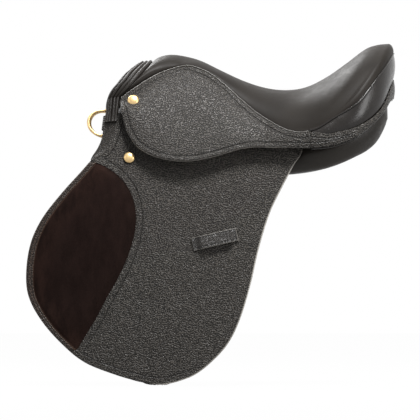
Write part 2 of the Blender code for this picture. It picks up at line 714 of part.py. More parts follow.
def make_flap():
    lowest = FLAP_FRONT[-1][0]
    top = sheet("flap_top_left", flap_patch(0.099, FLAP_EDGE_Z + 0.0003), 8, 5, FLAP_LEATHER, "grain leather")
    half = BAR_HEIGHT / 2 - 0.0015 + SLIDE
    ends = (BAR_FRONT_X - SLIDE, BAR_FRONT_X + BAR_ARM + SLIDE, BAR_Z - half, BAR_Z + half)
    raised = bar_patch(*ends, -BAR_STANDOFF - BAR_THICK + 0.001)
    slot = sheet("bar_slot_left", raised, 1, 1, 0.024, "grain leather")
    boolean(top, slot, "DIFFERENCE")
    whole = flap_patch(FLAP_EDGE_Z, lowest)
    leaf = sheet("flap_left", lambda u, v: whole(u, v**1.6), 9, 18, FLAP_LEATHER, "grain leather")
    knee_rear = [(z, x - 0.0008) for z, x in KNEE_EDGE]
    pad_front = [(z, x + BINDING_WIDTH + 0.0012) for z, x in FLAP_FRONT]

    def pad_face(u, v):
        return flap_patch(FLAP_EDGE_Z - 0.0015, -0.262, -0.0012, pad_front, knee_rear, 0, 0, KNEE_PAD_CROWN)(u, v)

    def pad_back(u, v):
        return flap_patch(FLAP_EDGE_Z - 0.0015, -0.262, -0.0004, pad_front, knee_rear)(u, v)

    pad = slab("knee_pad_left", pad_face, pad_back, 6, 12, "suede")

    def binding(depth):
        def at(u, v):
            z = mix(-0.266, FLAP_EDGE_Z - 0.0015, v)
            return flap_point(along(FLAP_FRONT, z)[0] + 0.0004 + BINDING_WIDTH * u, z, depth)

        return at

    edge = slab("knee_binding_left", binding(-0.0016), binding(-0.0004), 1, 18, "grain leather")
    keeper = make_keeper()
    moving = [leaf, pad, edge, keeper]
    twins = [mirrored(piece) for piece in [top] + moving][1:]
    axis = flap_point(0, FLAP_EDGE_Z)
    hinge("flap_lift_left", axis, moving)
    hinge("flap_lift_right", Vector((axis.x, -axis.y, axis.z)), twins)


def make_keeper():
    """A leather loop on the flap's face, open at both ends."""
    across = Vector((math.cos(KEEPER_TILT), 0, math.sin(KEEPER_TILT)))
    upward = Vector((-math.sin(KEEPER_TILT), 0, math.cos(KEEPER_TILT)))

    def lift(s):
        """Height of the strap's outer face above the flap, s from -1 to 1 along it."""
        return KEEPER_LEATHER + 0.0005 + KEEPER_ROOM * (1 - ramp(abs(s), 0.62, 0.86))

    def at(u, v):
        s = 2 * u - 1
        along_strap = across * (KEEPER_LENGTH / 2 * s)
        place = along_strap + upward * (KEEPER_WIDTH * (v - 0.5))
        return flap_point(KEEPER_X + place.x, KEEPER_Z + place.z, -lift(s))

    return sheet("keeper_left", at, 14, 1, KEEPER_LEATHER, "grain leather")


# Stirrup bar


def bar_patch(start, end, low, high, depth):
    """Part of a surface parallel to the flap at the stirrup bar, as a function of (u, v)."""
    return lambda u, v: flap_point(mix(start, end, u), mix(low, high, v), depth)


def make_bar():
    """Plate behind the flap, one arm through the flap, and the bar outside it, open at the rear."""
    low = BAR_Z - BAR_HEIGHT / 2
    high = BAR_Z + BAR_HEIGHT / 2
    tip = BAR_FRONT_X + BAR_LENGTH
    face = -BAR_STANDOFF - BAR_THICK
    plate_end = tip - CATCH_LENGTH
    plate = bar_patch(BAR_FRONT_X - 0.006, plate_end, low - 0.008, high + 0.008, BAR_PLATE_DEPTH)
    steel = sheet("stirrup_bar_left", plate, 2, 1, BAR_PLATE, "bar steel")
    bar = sheet(
        "bar_body_left", bar_patch(BAR_FRONT_X, tip - CATCH_LENGTH, low, high, face), 2, 1, BAR_THICK, "bar steel"
    )
    round_edges(bar, 0.0010)
    boolean(steel, bar, "UNION")
    arm_face = bar_patch(BAR_FRONT_X, BAR_FRONT_X + BAR_ARM, low + 0.0015, high - 0.0015, face + 0.001)
    arm_depth = BAR_STANDOFF + BAR_THICK + BAR_PLATE_DEPTH + BAR_PLATE / 2
    boolean(steel, sheet("bar_arm_left", arm_face, 1, 1, arm_depth, "bar steel"), "UNION")
    start = tip - CATCH_LENGTH + SLIDE
    catch = sheet("bar_catch_left", bar_patch(start, tip, low, high, face), 2, 1, BAR_THICK, "bar steel")
    round_edges(catch, 0.0010)
    twins = [mirrored(steel), mirrored(catch)]
    place = flap_point(start, high, face)
    hinge("catch_turn_left", place, [catch])
    hinge("catch_turn_right", Vector((place.x, -place.y, place.z)), [twins[1]])


# Girth straps, sweat flap and panels


def make_straps():
    pieces = []
    for n in range(3):
        middle = STRAP_MIDDLE_X + (n - 1) * STRAP_PITCH

        def at(u, v, middle=middle):
            z = mix(STRAP_TOP_Z - STRAP_LENGTH, STRAP_TOP_Z, v)
            half = STRAP_WIDTH / 2 * min(1, 0.35 + 14 * v)
            return flap_point(middle + half * (2 * u - 1), z, STRAP_DEPTH)

        strap = sheet(f"girth_strap_{n + 1}_left", at, 2, 12, STRAP_LEATHER, "grain leather")
        bm = bmesh.new()
        for k in range(STRAP_HOLES):
            z = STRAP_TOP_Z - STRAP_LENGTH + 0.045 + k * STRAP_HOLE_PITCH
            across = flap_point(middle, z, STRAP_DEPTH + STRAP_LEATHER / 2)
            pin = bmesh.ops.create_cone(
                bm, cap_ends=True, segments=8, radius1=STRAP_HOLE / 2, radius2=STRAP_HOLE / 2, depth=0.020
            )
            bmesh.ops.rotate(bm, matrix=Matrix.Rotation(math.pi / 2, 3, "X"), verts=pin["verts"])
            bmesh.ops.translate(bm, vec=across, verts=pin["verts"])
        boolean(strap, from_bmesh(f"strap_holes_{n + 1}_left", bm, "grain leather"), "DIFFERENCE")
        pieces.append(strap)

    def guard(u, v):
        half = STRAP_PITCH + STRAP_WIDTH / 2 + GUARD_MARGIN
        return flap_point(STRAP_MIDDLE_X + half * (2 * u - 1), mix(GUARD_BOTTOM_Z, GUARD_TOP_Z, v), GUARD_DEPTH)

    pieces.append(sheet("buckle_guard_left", guard, 4, 6, GUARD_LEATHER, "lining leather"))
    twins = [mirrored(piece) for piece in pieces]
    place = flap_point(STRAP_MIDDLE_X, STRAP_TOP_Z - 0.012, STRAP_DEPTH)
    hinge("strap_swing_left", place, pieces)
    hinge("strap_swing_right", Vector((place.x, -place.y, place.z)), twins)


def make_sweat_flap():
    front = [(z, x + SWEAT_SETBACK) for z, x in FLAP_FRONT]
    at = flap_patch(SWEAT_TOP_Z, SWEAT_BOTTOM_Z, SWEAT_DEPTH, front, SWEAT_REAR)
    mirrored(sheet("sweat_flap_left", at, 8, 10, SWEAT_LEATHER, "lining leather"))
    inner = SWEAT_DEPTH + SWEAT_LEATHER + GAP
    pad_rear = [(z, x - POINT_SETBACK) for z, x in SWEAT_REAR]
    pad_front = [(z, x + POINT_SETBACK) for z, x in front]

    def outer_face(u, v):
        return flap_patch(POINT_TOP_Z, POINT_BOTTOM_Z, inner, pad_front, pad_rear)(u, v)

    def inner_face(u, v):
        middle = (min(1, 5 * min(u, 1 - u)) * min(1, 5 * min(v, 1 - v))) ** 0.6
        thickness = POINT_EDGE + POINT_SWELL * middle
        return flap_patch(POINT_TOP_Z, POINT_BOTTOM_Z, inner + thickness, pad_front, pad_rear)(u, v)

    mirrored(slab("panel_point_left", outer_face, inner_face, 8, 8, "lining leather"))


def make_panel():
    stations = 18
    around = 16
    low, high = PANEL[0][0], PANEL[-1][0]
    rings = []
    for n in range(stations + 1):
        x = mix(low, high, n / stations)
        y_in, z_in, y_out, z_out, thick, bow = along([(p[0], *p[1:]) for p in PANEL], x)
        inner = Vector((0, -y_in, z_in))
        outer = Vector((0, -y_out, z_out))
        span = outer - inner
        normal = Vector((0, span.z, -span.y)).normalized()
        end = min(n, stations - n) / stations
        fullness = 0.62 + 0.38 * min(1, end * 9) ** 0.5
        ring = []
        for k in range(around):
            turn = 2 * math.pi * k / around
            across = math.copysign(abs(math.cos(turn)) ** 0.55, math.cos(turn))
            up = math.copysign(abs(math.sin(turn)) ** 0.75, math.sin(turn))
            place = inner.lerp(outer, 0.5 + 0.5 * across) + normal * (bow * (1 - across**2))
            place += normal * (thick / 2 * fullness * up)
            ring.append(Vector((x + 0.30 * max(0, place.z - 0.060) * (1 - n / stations), place.y, place.z)))
        rings.append(ring)
    panel = loft("panel_left", rings, "lining leather")
    mirrored(panel)


# Nails, dee and chape


def make_nails():
    profile = [(0, NAIL_RISE), (0.45 * NAIL_RADIUS, 0.90 * NAIL_RISE), (0.80 * NAIL_RADIUS, 0.55 * NAIL_RISE)]
    profile += [(NAIL_RADIUS, 0.0002), (0.9 * NAIL_RADIUS, 0), (NAIL_SHANK, 0), (NAIL_SHANK, -0.0016), (0, -0.0016)]
    for name, place, normal in (
        ("skirt_nail_left", Vector((-0.1420, -0.0905, 0.1145)), Vector((-0.05, -0.80, 0.55))),
        ("flap_nail_left", flap_point(-0.1480, 0.0265), Vector((0, -0.95, 0.30))),
    ):
        nail = turned(name, profile, 14, "brass")
        facing = normal.normalized()
        nail.matrix_world = Matrix.Translation(place + facing * 0.0022) @ facing.to_track_quat("Z", "Y").to_matrix().to_4x4()
        mirrored(nail)


def make_dee():
    bar_top = Vector((-0.1815, -0.0690, 0.0975))
    bar_low = Vector((-0.1860, -0.0820, 0.0625))
    bar = bar_low - bar_top
    forward = Vector((-1, -0.10, 0))
    forward = (forward - forward.project(bar)).normalized()
    count = 14
    middle = (bar_top + bar_low) / 2
    ring = [bar_top, bar_low]
    for n in range(count + 1):
        turn = math.pi * n / count
        ring.append(
            middle + bar * 0.56 * math.cos(turn) + forward * (DEE_DEPTH * math.sin(turn) ** 0.8 + 0.001)
        )
    wire = bpy.data.curves.new("dee_left", "CURVE")
    wire.dimensions = "3D"
    wire.bevel_depth = DEE_WIRE
    wire.bevel_resolution = 2
    line = wire.splines.new("POLY")
    line.points.add(len(ring) - 1)
    for n, place in enumerate(ring):
        line.points[n].co = (*place, 1)
    line.use_cyclic_u = True
    dee = baked(finish(bpy.data.objects.new("dee_left", wire), "brass"))
    radius = DEE_WIRE + 0.0005
    outward = Vector((0, -1, 0))
    outward = (outward - outward.project(bar)).normalized()
    rear = -forward

    def at(u, v):
        """Round the front of the bar and back along both sides."""
        along_bar = bar_top.lerp(bar_low, mix(0.20, 0.80, v))
        s = 2 * u - 1
        if abs(s) < 0.5:
            turn = s * math.pi
            return along_bar + (forward * math.cos(turn) + outward * math.sin(turn)) * (radius + CHAPE_LEATHER)
        side = 1 if s > 0 else -1
        reach = (abs(s) - 0.5) * 2
        return along_bar + outward * side * (radius + CHAPE_LEATHER) * mix(1, 0.999, reach) + rear * (0.007 * reach)

    chape = sheet("dee_chape_left", at, 16, 1, CHAPE_LEATHER, "grain leather")
    twins = [mirrored(dee), mirrored(chape)]
    hinge("dee_swing_left", middle, [dee])
    hinge("dee_swing_right", Vector((middle.x, -middle.y, middle.z)), [twins[0]])


MATERIALS = {
    "seat leather": ((0.018, 0.017, 0.016), 0.35, 0.0),
    "grain leather": ((0.030, 0.029, 0.027), 0.55, 0.0),
    "suede": ((0.020, 0.012, 0.010), 0.95, 0.0),
    "lining leather": ((0.022, 0.020, 0.019), 0.45, 0.0),
    "foam": ((0.62, 0.58, 0.45), 0.95, 0.0),
    "webbing": ((0.55, 0.50, 0.40), 0.9, 0.0),
    "beech": ((0.48, 0.33, 0.19), 0.6, 0.0),
    "spring steel": ((0.35, 0.36, 0.38), 0.4, 1.0),
    "brass": ((0.83, 0.62, 0.30), 0.25, 1.0),
    "bar steel": ((0.55, 0.55, 0.56), 0.3, 1.0),
}

for old in list(bpy.data.objects):
    bpy.data.objects.remove(old)
saddle = bpy.data.collections.new("all_purpose_saddle")
cutters = bpy.data.collections.new("cutters")
bpy.context.scene.collection.children.link(saddle)
bpy.context.scene.collection.children.link(cutters)

make_seat()
make_webs()
make_tree()
make_channel()
make_bands()
make_facing_legs()
make_cantle()
make_skirt()
make_flap()
make_bar()
make_straps()
make_sweat_flap()
make_panel()
make_nails()
make_dee()
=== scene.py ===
"""Looks of the all-purpose saddle: leather, suede, stitching, brass and the parts under the flaps.

Metres, +Z up, +X from the pommel to the cantle, near side at -Y. The surfaces repeat the part's own
formulas and sizes, laid out finely enough for rolled edges, folds and rows of stitches.
"""

import math

import bmesh
import bpy
import numpy as np
from mathutils import Matrix, Vector
from mathutils.bvhtree import BVHTree


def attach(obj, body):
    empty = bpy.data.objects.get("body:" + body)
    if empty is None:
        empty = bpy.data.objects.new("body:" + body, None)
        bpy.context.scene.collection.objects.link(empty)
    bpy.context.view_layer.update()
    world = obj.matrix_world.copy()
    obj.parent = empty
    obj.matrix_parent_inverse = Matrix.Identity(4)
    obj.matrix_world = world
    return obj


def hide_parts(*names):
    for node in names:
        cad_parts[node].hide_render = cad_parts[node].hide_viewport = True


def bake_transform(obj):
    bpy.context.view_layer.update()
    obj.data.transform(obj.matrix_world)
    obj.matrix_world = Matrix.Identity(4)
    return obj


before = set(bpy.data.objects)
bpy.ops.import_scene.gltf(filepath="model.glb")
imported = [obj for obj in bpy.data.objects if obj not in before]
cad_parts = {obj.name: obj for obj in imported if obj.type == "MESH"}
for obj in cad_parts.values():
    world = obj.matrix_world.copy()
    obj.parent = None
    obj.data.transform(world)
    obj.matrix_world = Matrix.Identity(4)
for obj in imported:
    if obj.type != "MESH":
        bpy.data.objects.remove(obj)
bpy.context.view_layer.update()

HALF = math.pi / 2
MATCHED = 0.00001  # points nearer than this are merged
FLOOR_Z = -0.3255
FORE_TURN = 0.03  # how far the front of the flap turns in towards the horse
BINDING_WIDTH = 0.0075
EDGING_WIDTH = BINDING_WIDTH + 0.0032
COVER_LEATHER = 0.002  # thickness of the seat, bands, facings and chape
FLAP_FACE = 0.0022
FLAP_LINING = 0.0019
SKIRT_LEATHER = 0.003
EDGING_LEATHER = 0.003
KEEPER_LEATHER = 0.0024
SUEDE = 0.0016
SEAT_FOAM = 0.011
PIPING_RADIUS = 0.0015
STRIP_PIPING_RADIUS = 0.0012
SKIRT_WELT_RADIUS = 0.0008
FLAP_LINE = 0.0105  # sewn lines, by their distance from the edge
SKIRT_LINE = 0.0088
NARROW_LINE = 0.003
KNEE_LINES = (0.0048, 0.0132)
EDGING_LINE = 0.0036
LINE_WIDTH = 0.0014
NAIL_RADIUS = 0.009
NAIL_DOME = 0.004
DEE_WIRE = 0.0024
DEE_REACH = 0.027
CHAPE_RADIUS = 0.0025 + COVER_LEATHER
KEEPER_PLACE = (-0.0158, -0.099)
KEEPER_TILT = math.radians(13)
KEEPER_HALF_LENGTH = 0.0355
KEEPER_WIDTH = 0.02
SWEAT_DEPTH = 0.0194
SWEAT_LEATHER = 0.003
SWEAT_REAR = [
    (0.062, 0.045), (0.0, 0.04), (-0.08, 0.028), (-0.15, 0.016), (-0.2, 0.0), (-0.23, -0.03),
]
SIDE_PROFILE = [
    (0.0, 0.174), (0.022, 0.171), (0.042, 0.16), (0.058, 0.145), (0.071, 0.128), (0.083, 0.109),
    (0.094, 0.088), (0.104, 0.067), (0.113, 0.045), (0.121, 0.022), (0.129, -0.002), (0.144, -0.05),
    (0.158, -0.1), (0.17, -0.15), (0.179, -0.2), (0.186, -0.25), (0.19, -0.3), (0.192, -0.34),
]
FLAP_FRONT = [
    (0.099, -0.166), (0.079, -0.169), (0.056, -0.177), (0.04, -0.185), (0.027, -0.203), (0.006, -0.222),
    (-0.031, -0.255), (-0.068, -0.283), (-0.105, -0.3), (-0.151, -0.307), (-0.188, -0.303),
    (-0.225, -0.283), (-0.262, -0.25), (-0.29, -0.214), (-0.309, -0.165), (-0.319, -0.128),
    (-0.323, -0.104),
]
FLAP_REAR = [
    (0.099, 0.05), (0.06, 0.105), (0.04, 0.12), (0.015, 0.106), (-0.021, 0.087), (-0.059, 0.069),
    (-0.114, 0.052), (-0.17, 0.039), (-0.225, 0.022), (-0.262, 0.003), (-0.29, -0.023), (-0.309, -0.049),
    (-0.319, -0.076), (-0.323, -0.096),
]
KNEE_EDGE = [
    (0.02, -0.202), (0.014, -0.187), (0.001, -0.168), (-0.014, -0.154), (-0.032, -0.144), (-0.051, -0.139),
    (-0.068, -0.1375), (-0.093, -0.1405), (-0.113, -0.146), (-0.136, -0.1545), (-0.162, -0.167),
    (-0.192, -0.184), (-0.221, -0.199), (-0.249, -0.216), (-0.276, -0.232),
]
SEAT_CENTRE = [
    (0.0, -0.1135, 0.176), (0.07, -0.103, 0.184), (0.14, -0.085, 0.188), (0.22, -0.062, 0.1855),
    (0.3, -0.036, 0.178), (0.38, -0.005, 0.163), (0.46, 0.03, 0.147), (0.54, 0.065, 0.136),
    (0.62, 0.098, 0.133), (0.7, 0.128, 0.138), (0.78, 0.16, 0.154), (0.85, 0.19, 0.175),
    (0.92, 0.22, 0.1972), (0.96, 0.238, 0.2033), (1.0, 0.255, 0.205),
]
SEAT_EDGE = [
    (0.0, -0.164, 0.074, 0.119), (0.07, -0.14, 0.064, 0.137), (0.14, -0.11, 0.051, 0.156),
    (0.22, -0.08, 0.043, 0.168), (0.3, -0.055, 0.044, 0.172), (0.38, -0.025, 0.052, 0.161),
    (0.46, 0.0, 0.062, 0.142), (0.54, 0.025, 0.078, 0.119), (0.62, 0.05, 0.096, 0.098),
    (0.7, 0.075, 0.112, 0.082), (0.78, 0.095, 0.123, 0.072), (0.85, 0.1095, 0.128, 0.0685),
    (0.92, 0.1205, 0.131, 0.068), (1.0, 0.1285, 0.1325, 0.07),
]
HEAD_FRONT = [
    (0.0, -0.214), (0.026, -0.207), (0.042, -0.197), (0.057, -0.191), (0.085, -0.187), (0.1, -0.185),
    (0.117, -0.184), (0.134, -0.178), (0.147, -0.168), (0.159, -0.159), (0.167, -0.15), (0.176, -0.138),
]
PANEL = [
    (-0.178, 0.031, 0.122, 0.0885, -0.001, 0.017, 0.004), (-0.15, 0.032, 0.118, 0.0895, -0.002, 0.018, 0.004),
    (-0.09, 0.032, 0.108, 0.09, -0.003, 0.022, 0.003), (-0.03, 0.032, 0.092, 0.09, -0.003, 0.027, 0.001),
    (0.05, 0.032, 0.076, 0.092, 0.004, 0.037, 0.001), (0.11, 0.032, 0.07, 0.103, 0.01, 0.045, 0.002),
    (0.16, 0.032, 0.076, 0.1195, 0.023, 0.053, 0.004), (0.2, 0.032, 0.091, 0.114, 0.038, 0.052, 0.006),
    (0.232, 0.032, 0.106, 0.09, 0.055, 0.046, 0.006), (0.2525, 0.034, 0.11, 0.064, 0.084, 0.034, 0.004),
]
SEAT_ROUNDING = [(0.0, 1.1, 1.1), (0.5, 1.2, 1.2), (0.8, 1.25, 0.95), (1.0, 1.06, 0.68)]
CANTLE_SEAM = [
    (0.0, 0.261, 0.0, 0.15), (0.12, 0.2608, 0.0155, 0.1488), (0.347, 0.257, 0.045, 0.1385),
    (0.708, 0.243, 0.0885, 0.1065), (0.961, 0.224, 0.112, 0.0875), (1.194, 0.199, 0.1275, 0.074),
    (1.4, 0.165, 0.136, 0.0655), (1.571, 0.131, 0.135, 0.06),
]
FACING_HEIGHT = [
    (0.0, 0.032), (0.12, 0.031), (0.347, 0.022), (0.708, 0.012), (0.961, 0.0125), (1.194, 0.0172),
    (1.4, 0.021), (1.571, 0.019),
]
SKIRT_HEM = [
    (0.0, -0.16, 0.108, 0.0955), (0.08, -0.153, 0.119, 0.069), (0.18, -0.135, 0.1325, 0.043),
    (0.32, -0.1, 0.143, 0.026), (0.48, -0.056, 0.145, 0.0215), (0.64, -0.015, 0.1405, 0.029),
    (0.8, 0.023, 0.1365, 0.04), (0.92, 0.046, 0.135, 0.043), (1.0, 0.062, 0.1345, 0.0425),
]
SKIRT_BEND = (Vector((-0.161, -0.107, 0.099)), Vector((0.062, -0.1345, 0.045)))


# Surfaces


def curve(knots):
    """A smooth curve through knots (t, value, ...), as a function of an array of t."""
    k = np.array(sorted(knots), float)
    t, p = k[:, 0], k[:, 1:]
    slope = np.empty_like(p)
    slope[1:-1] = (p[2:] - p[:-2]) / (t[2:] - t[:-2])[:, None]
    slope[0] = (p[1] - p[0]) / (t[1] - t[0])
    slope[-1] = (p[-1] - p[-2]) / (t[-1] - t[-2])

    def at(x):
        x = np.clip(np.asarray(x, float), t[0], t[-1])
        i = np.clip(np.searchsorted(t, x, side="right") - 1, 0, len(t) - 2)
        span = (t[i + 1] - t[i])[..., None]
        s = (x - t[i])[..., None] / span
        value = (2 * s**3 - 3 * s**2 + 1) * p[i] + (s**3 - 2 * s**2 + s) * slope[i] * span
        value = value + (3 * s**2 - 2 * s**3) * p[i + 1] + (s**3 - s**2) * slope[i + 1] * span
        return value if p.shape[1] > 1 else value[..., 0]

    return at


def ramp(value, start, end):
    s = np.clip((np.asarray(value, float) - start) / (end - start), 0, 1)
    return s * s * (3 - 2 * s)


def mix(a, b, share):
    return a + (b - a) * share


def stack(x, y, z):
    x, y, z = np.broadcast_arrays(x, y, z)
    return np.stack([x, y, z], -1)


def unit(way):
    return way / np.linalg.norm(way, axis=-1)[..., None]


def bent(value, power):
    """A power of a number's size, with its sign kept."""
    return np.sign(value) * np.abs(value) ** power


side_width = curve([(height, width) for width, height in SIDE_PROFILE[2:]])
flap_front = curve(FLAP_FRONT)
flap_rear = curve(FLAP_REAR)
knee_edge = curve(KNEE_EDGE)
head_front = curve(HEAD_FRONT)
seat_centre = curve(SEAT_CENTRE)
seat_edge = curve(SEAT_EDGE)
seat_rounding = curve(SEAT_ROUNDING)
seam_line = curve(CANTLE_SEAM)
facing_height = curve(FACING_HEIGHT)
skirt_hem = curve(SKIRT_HEM)
panel_section = curve(PANEL)


def flap_width(x, z):
    forward = np.maximum(0, -np.asarray(x) - 0.06) / 0.25
    return side_width(z) - FORE_TURN * forward**2 * ramp(-np.asarray(z), 0.02, 0.2)


def flap_point(x, z, depth=0.0):
    """Points on the near side, at a depth inside the flap's face."""
    step = 0.002
    across = (flap_width(x, z + step) - flap_width(x, z - step)) / (2 * step)
    along_x = (flap_width(x + step, z) - flap_width(x - step, z)) / (2 * step)
    lean = np.sqrt(1 + across**2 + along_x**2)
    return stack(x, -flap_width(x, z) + depth * lean, z)


def seat_surface(share, angle):
    centre, edge, rounding = seat_centre(share), seat_edge(share), seat_rounding(share)
    c = np.maximum(np.cos(angle), 0)
    return stack(
        edge[..., 0] + (centre[..., 0] - edge[..., 0]) * c ** rounding[..., 1],
        edge[..., 1] * np.sin(angle),
        edge[..., 2] + (centre[..., 1] - edge[..., 2]) * c ** rounding[..., 0],
    )


# Making pieces


def new_object(name, data):
    obj = bpy.data.objects.new(name, data)
    bpy.context.scene.collection.objects.link(obj)
    return obj


def as_mesh(bm, name="", mesh=None):
    mesh = mesh or bpy.data.meshes.new(name)
    bm.to_mesh(mesh)
    bm.free()
    return mesh


def place_in(obj, body, replaces=()):
    if replaces:
        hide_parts(*replaces)
    if isinstance(body, str):
        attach(obj, body)
    else:
        first, second, start, end = body
        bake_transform(obj)
        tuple(start)
        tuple(end)
    return obj


def other_side(value):
    """The right-hand name, place or tuple for a left-hand one."""
    if isinstance(value, str):
        return value.replace("left", "right")
    if isinstance(value, Vector):
        return Vector((value.x, -value.y, value.z))
    return tuple(other_side(v) for v in value)


def add(name, mesh, material, body, replaces=(), modifiers=(), mirror=True):
    """Places a piece, and its mirror image where it has one."""
    made = []
    mesh.materials.append(material)
    mesh.shade_smooth()
    sides = [(name, mesh, body, replaces)]
    if mirror:
        twin = mesh.copy()
        twin.transform(Matrix.Scale(-1, 4, (0, 1, 0)))
        twin.flip_normals()
        sides.append((other_side(name), twin, other_side(body), other_side(replaces)))
    for title, data, rides, stands_for in sides:
        obj = new_object(title, data)
        for kind, values in modifiers:
            modifier = obj.modifiers.new(kind.title(), kind)
            for key, value in values.items():
                setattr(modifier, key, value)
        made.append(place_in(obj, rides, stands_for))
    return made


def centred(name, mesh, material, replaces=(), modifiers=()):
    """Places a piece on the middle line of the saddle, which has no mirror image."""
    return add(name, mesh, material, "saddle", replaces, modifiers, mirror=False)[0]


def skin(thickness, edge=0.45):
    """Modifiers that give a sheet its thickness and roll its edges. The first alone leaves them square."""
    solid = {"thickness": thickness, "offset": -1}
    rolled = {"segments": 3, "limit_method": "ANGLE", "angle_limit": math.radians(55)}
    return (("SOLIDIFY", solid), ("BEVEL", {"width": thickness * edge, **rolled}))


def dense(t, near):
    """Spreads lines from 0 to 1 so that they crowd towards both ends. near is how strongly."""
    return mix(t, 0.5 * bent(2 * t - 1, 0.5) + 0.5, near)


def grid(name, columns, rows, at, spread_u=0.0, spread_v=0.0, open_ends=()):
    """A fine grid laid on at(u, v), as a mesh with its distance from the edge stored on each point.

    open_ends names the sides ("u0", "u1", "v0", "v1") that run on into the next piece and count as no edge.
    """
    bm = bmesh.new()
    bmesh.ops.create_grid(bm, x_segments=columns, y_segments=rows, size=0.5)
    mesh = as_mesh(bm, name)
    uv = coordinates(mesh)[:, :2] + 0.5
    u, v = uv[:, 0], uv[:, 1]
    tiny = 1e-5
    sides = {"u0": u < tiny, "u1": u > 1 - tiny, "v0": v < tiny, "v1": v > 1 - tiny}
    points = at(dense(u, spread_u) if spread_u else u, dense(v, spread_v) if spread_v else v)
    set_coordinates(mesh, points)
    border = np.any([there for side, there in sides.items() if side not in open_ends], 0)
    store(mesh, "rim", distance(points, points[border]))
    store(mesh, "pale_edge_and_highlight", 0.0)
    store(mesh, "sewn", 1.0)
    mesh.update()
    return mesh


def store(mesh, name, values):
    """Stores a value for each point, or the same one for all."""
    held = mesh.attributes.get(name) or mesh.attributes.new(name, "FLOAT", "POINT")
    held.data.foreach_set("value", np.full(len(mesh.vertices), values, np.float32))


def coordinates(mesh, kind="co"):
    flat = np.empty(len(mesh.vertices) * 3, np.float32)
    mesh.vertices.foreach_get(kind, flat)
    return flat.reshape(-1, 3).astype(float)


def set_coordinates(mesh, points):
    mesh.vertices.foreach_set("co", points.astype(np.float32).ravel())


def distance(points, line):
    """Distance from each point to the nearest point of a line."""
    near = np.full(len(points), 1e9)
    for start in range(0, len(line), 64):
        part = line[start : start + 64]
        gap = ((points[:, None, :] - part[None, :, :]) ** 2).sum(-1).min(1)
        near = np.minimum(near, gap)
    return np.sqrt(near)


def resample(points, pitch):
    """Evenly spaced points along a path, with the direction of travel at each."""
    points = np.asarray(points, float)
    steps = np.linalg.norm(np.diff(points, axis=0), axis=1)
    run = np.concatenate([[0], np.cumsum(steps)])
    count = max(2, int(round(run[-1] / pitch)))
    where = (np.arange(count) + 0.5) * run[-1] / count
    step = 0.001
    placed, ahead, back = (
        np.stack([np.interp(where + shift, run, column) for column in points.T], 1)
        for shift in (0, step, -step)
    )
    return placed, ahead - back


def stitches(name, path, onto, body, pitch=0.0042, length=0.003, radius=0.00042, slant=0.12):
    """A row of stitches on the near side of a piece, along a path of (x, z) points."""
    graph = bpy.context.evaluated_depsgraph_get()
    tree = BVHTree.FromObject(onto, graph)
    placed, ahead = resample(path, pitch)
    bm = bmesh.new()
    for place, way in zip(placed, ahead):
        hit, normal = tree.ray_cast(Vector((place[0], -0.5, place[1])), Vector((0, 1, 0)))[:2]
        if hit is None:
            continue
        way = Vector((way[0], 0, way[1]))
        way = (way - way.project(normal)).normalized()
        way = (way + normal.cross(way) * slant).normalized()
        turn = Matrix((way, normal.cross(way), normal)).transposed().to_4x4()
        turn.translation = hit + normal * (radius * 0.35)
        made = bmesh.ops.create_icosphere(bm, subdivisions=1, radius=1)
        stretch = Matrix.Diagonal((length / 2, radius, radius, 1))
        bmesh.ops.transform(bm, verts=made["verts"], matrix=turn @ stretch)
    add(name, as_mesh(bm, name), thread, body)


def inset(path, gap):
    """A path in the (x, z) plane moved sideways, to the left of its direction."""
    path = np.asarray(path, float)
    step = unit(np.gradient(path, axis=0))
    return path + np.stack([-step[:, 1], step[:, 0]], 1) * gap


# Materials


def new_material(name):
    material = bpy.data.materials.new(name)
    material.use_nodes = True
    return material, material.node_tree


def join(tree, node, sockets):
    """Sets a node's sockets to values, or joins them to other sockets."""
    for key, value in sockets.items():
        if isinstance(value, bpy.types.NodeSocket):
            tree.links.new(value, node.inputs[key])
        else:
            node.inputs[key].default_value = value
    return node


def add_node(tree, kind, sockets=None, **settings):
    node = tree.nodes.new("ShaderNode" + kind)
    for key, value in settings.items():
        setattr(node, key, value)
    return join(tree, node, sockets or {})


def position(tree):
    return add_node(tree, "TexCoord").outputs["Object"]


def attribute(tree, name):
    return add_node(tree, "Attribute", attribute_name=name).outputs["Fac"]


def noise(tree, at, scale, detail, **more):
    sockets = {"Vector": at, "Scale": scale, "Detail": detail, **more}
    return add_node(tree, "TexNoise", sockets).outputs["Fac"]


def waves(tree, at, scale, way, distortion=0.0):
    sockets = {"Vector": at, "Scale": scale, "Distortion": distortion}
    return add_node(tree, "TexWave", sockets, bands_direction=way).outputs["Fac"]


def new_group(name, inputs, outputs):
    """A node group. An input without a value is a vector, and all others are numbers."""
    group = bpy.data.node_groups.new(name, "ShaderNodeTree")
    for title, value in inputs.items():
        kind = "NodeSocketVector" if value is None else "NodeSocketFloat"
        socket = group.interface.new_socket(title, in_out="INPUT", socket_type=kind)
        if value is not None:
            socket.default_value = value
    for title in outputs:
        group.interface.new_socket(title, in_out="OUTPUT", socket_type="NodeSocketFloat")
    return group, group.nodes.new("NodeGroupInput"), group.nodes.new("NodeGroupOutput")


def scaled(tree, value, low, high, to_low=0.0, to_high=1.0, smooth=True):
    node = add_node(tree, "MapRange", {0: value, 1: low, 2: high, 3: to_low, 4: to_high})
    node.interpolation_type = "SMOOTHSTEP" if smooth else "LINEAR"
    return node.outputs[0]


def maths(tree, operation, first, second=0.0):
    return add_node(tree, "Math", {0: first, 1: second}, operation=operation).outputs[0]


def less(tree, first, second):
    return maths(tree, "SUBTRACT", first, second)


def times(tree, first, second):
    return maths(tree, "MULTIPLY", first, second)


def blended(tree, share, first, second):
    return add_node(tree, "Mix", {0: share, 6: first, 7: second}, data_type="RGBA").outputs[2]


def tone(colour, share=1.0):
    return (*[c * share for c in colour], 1)


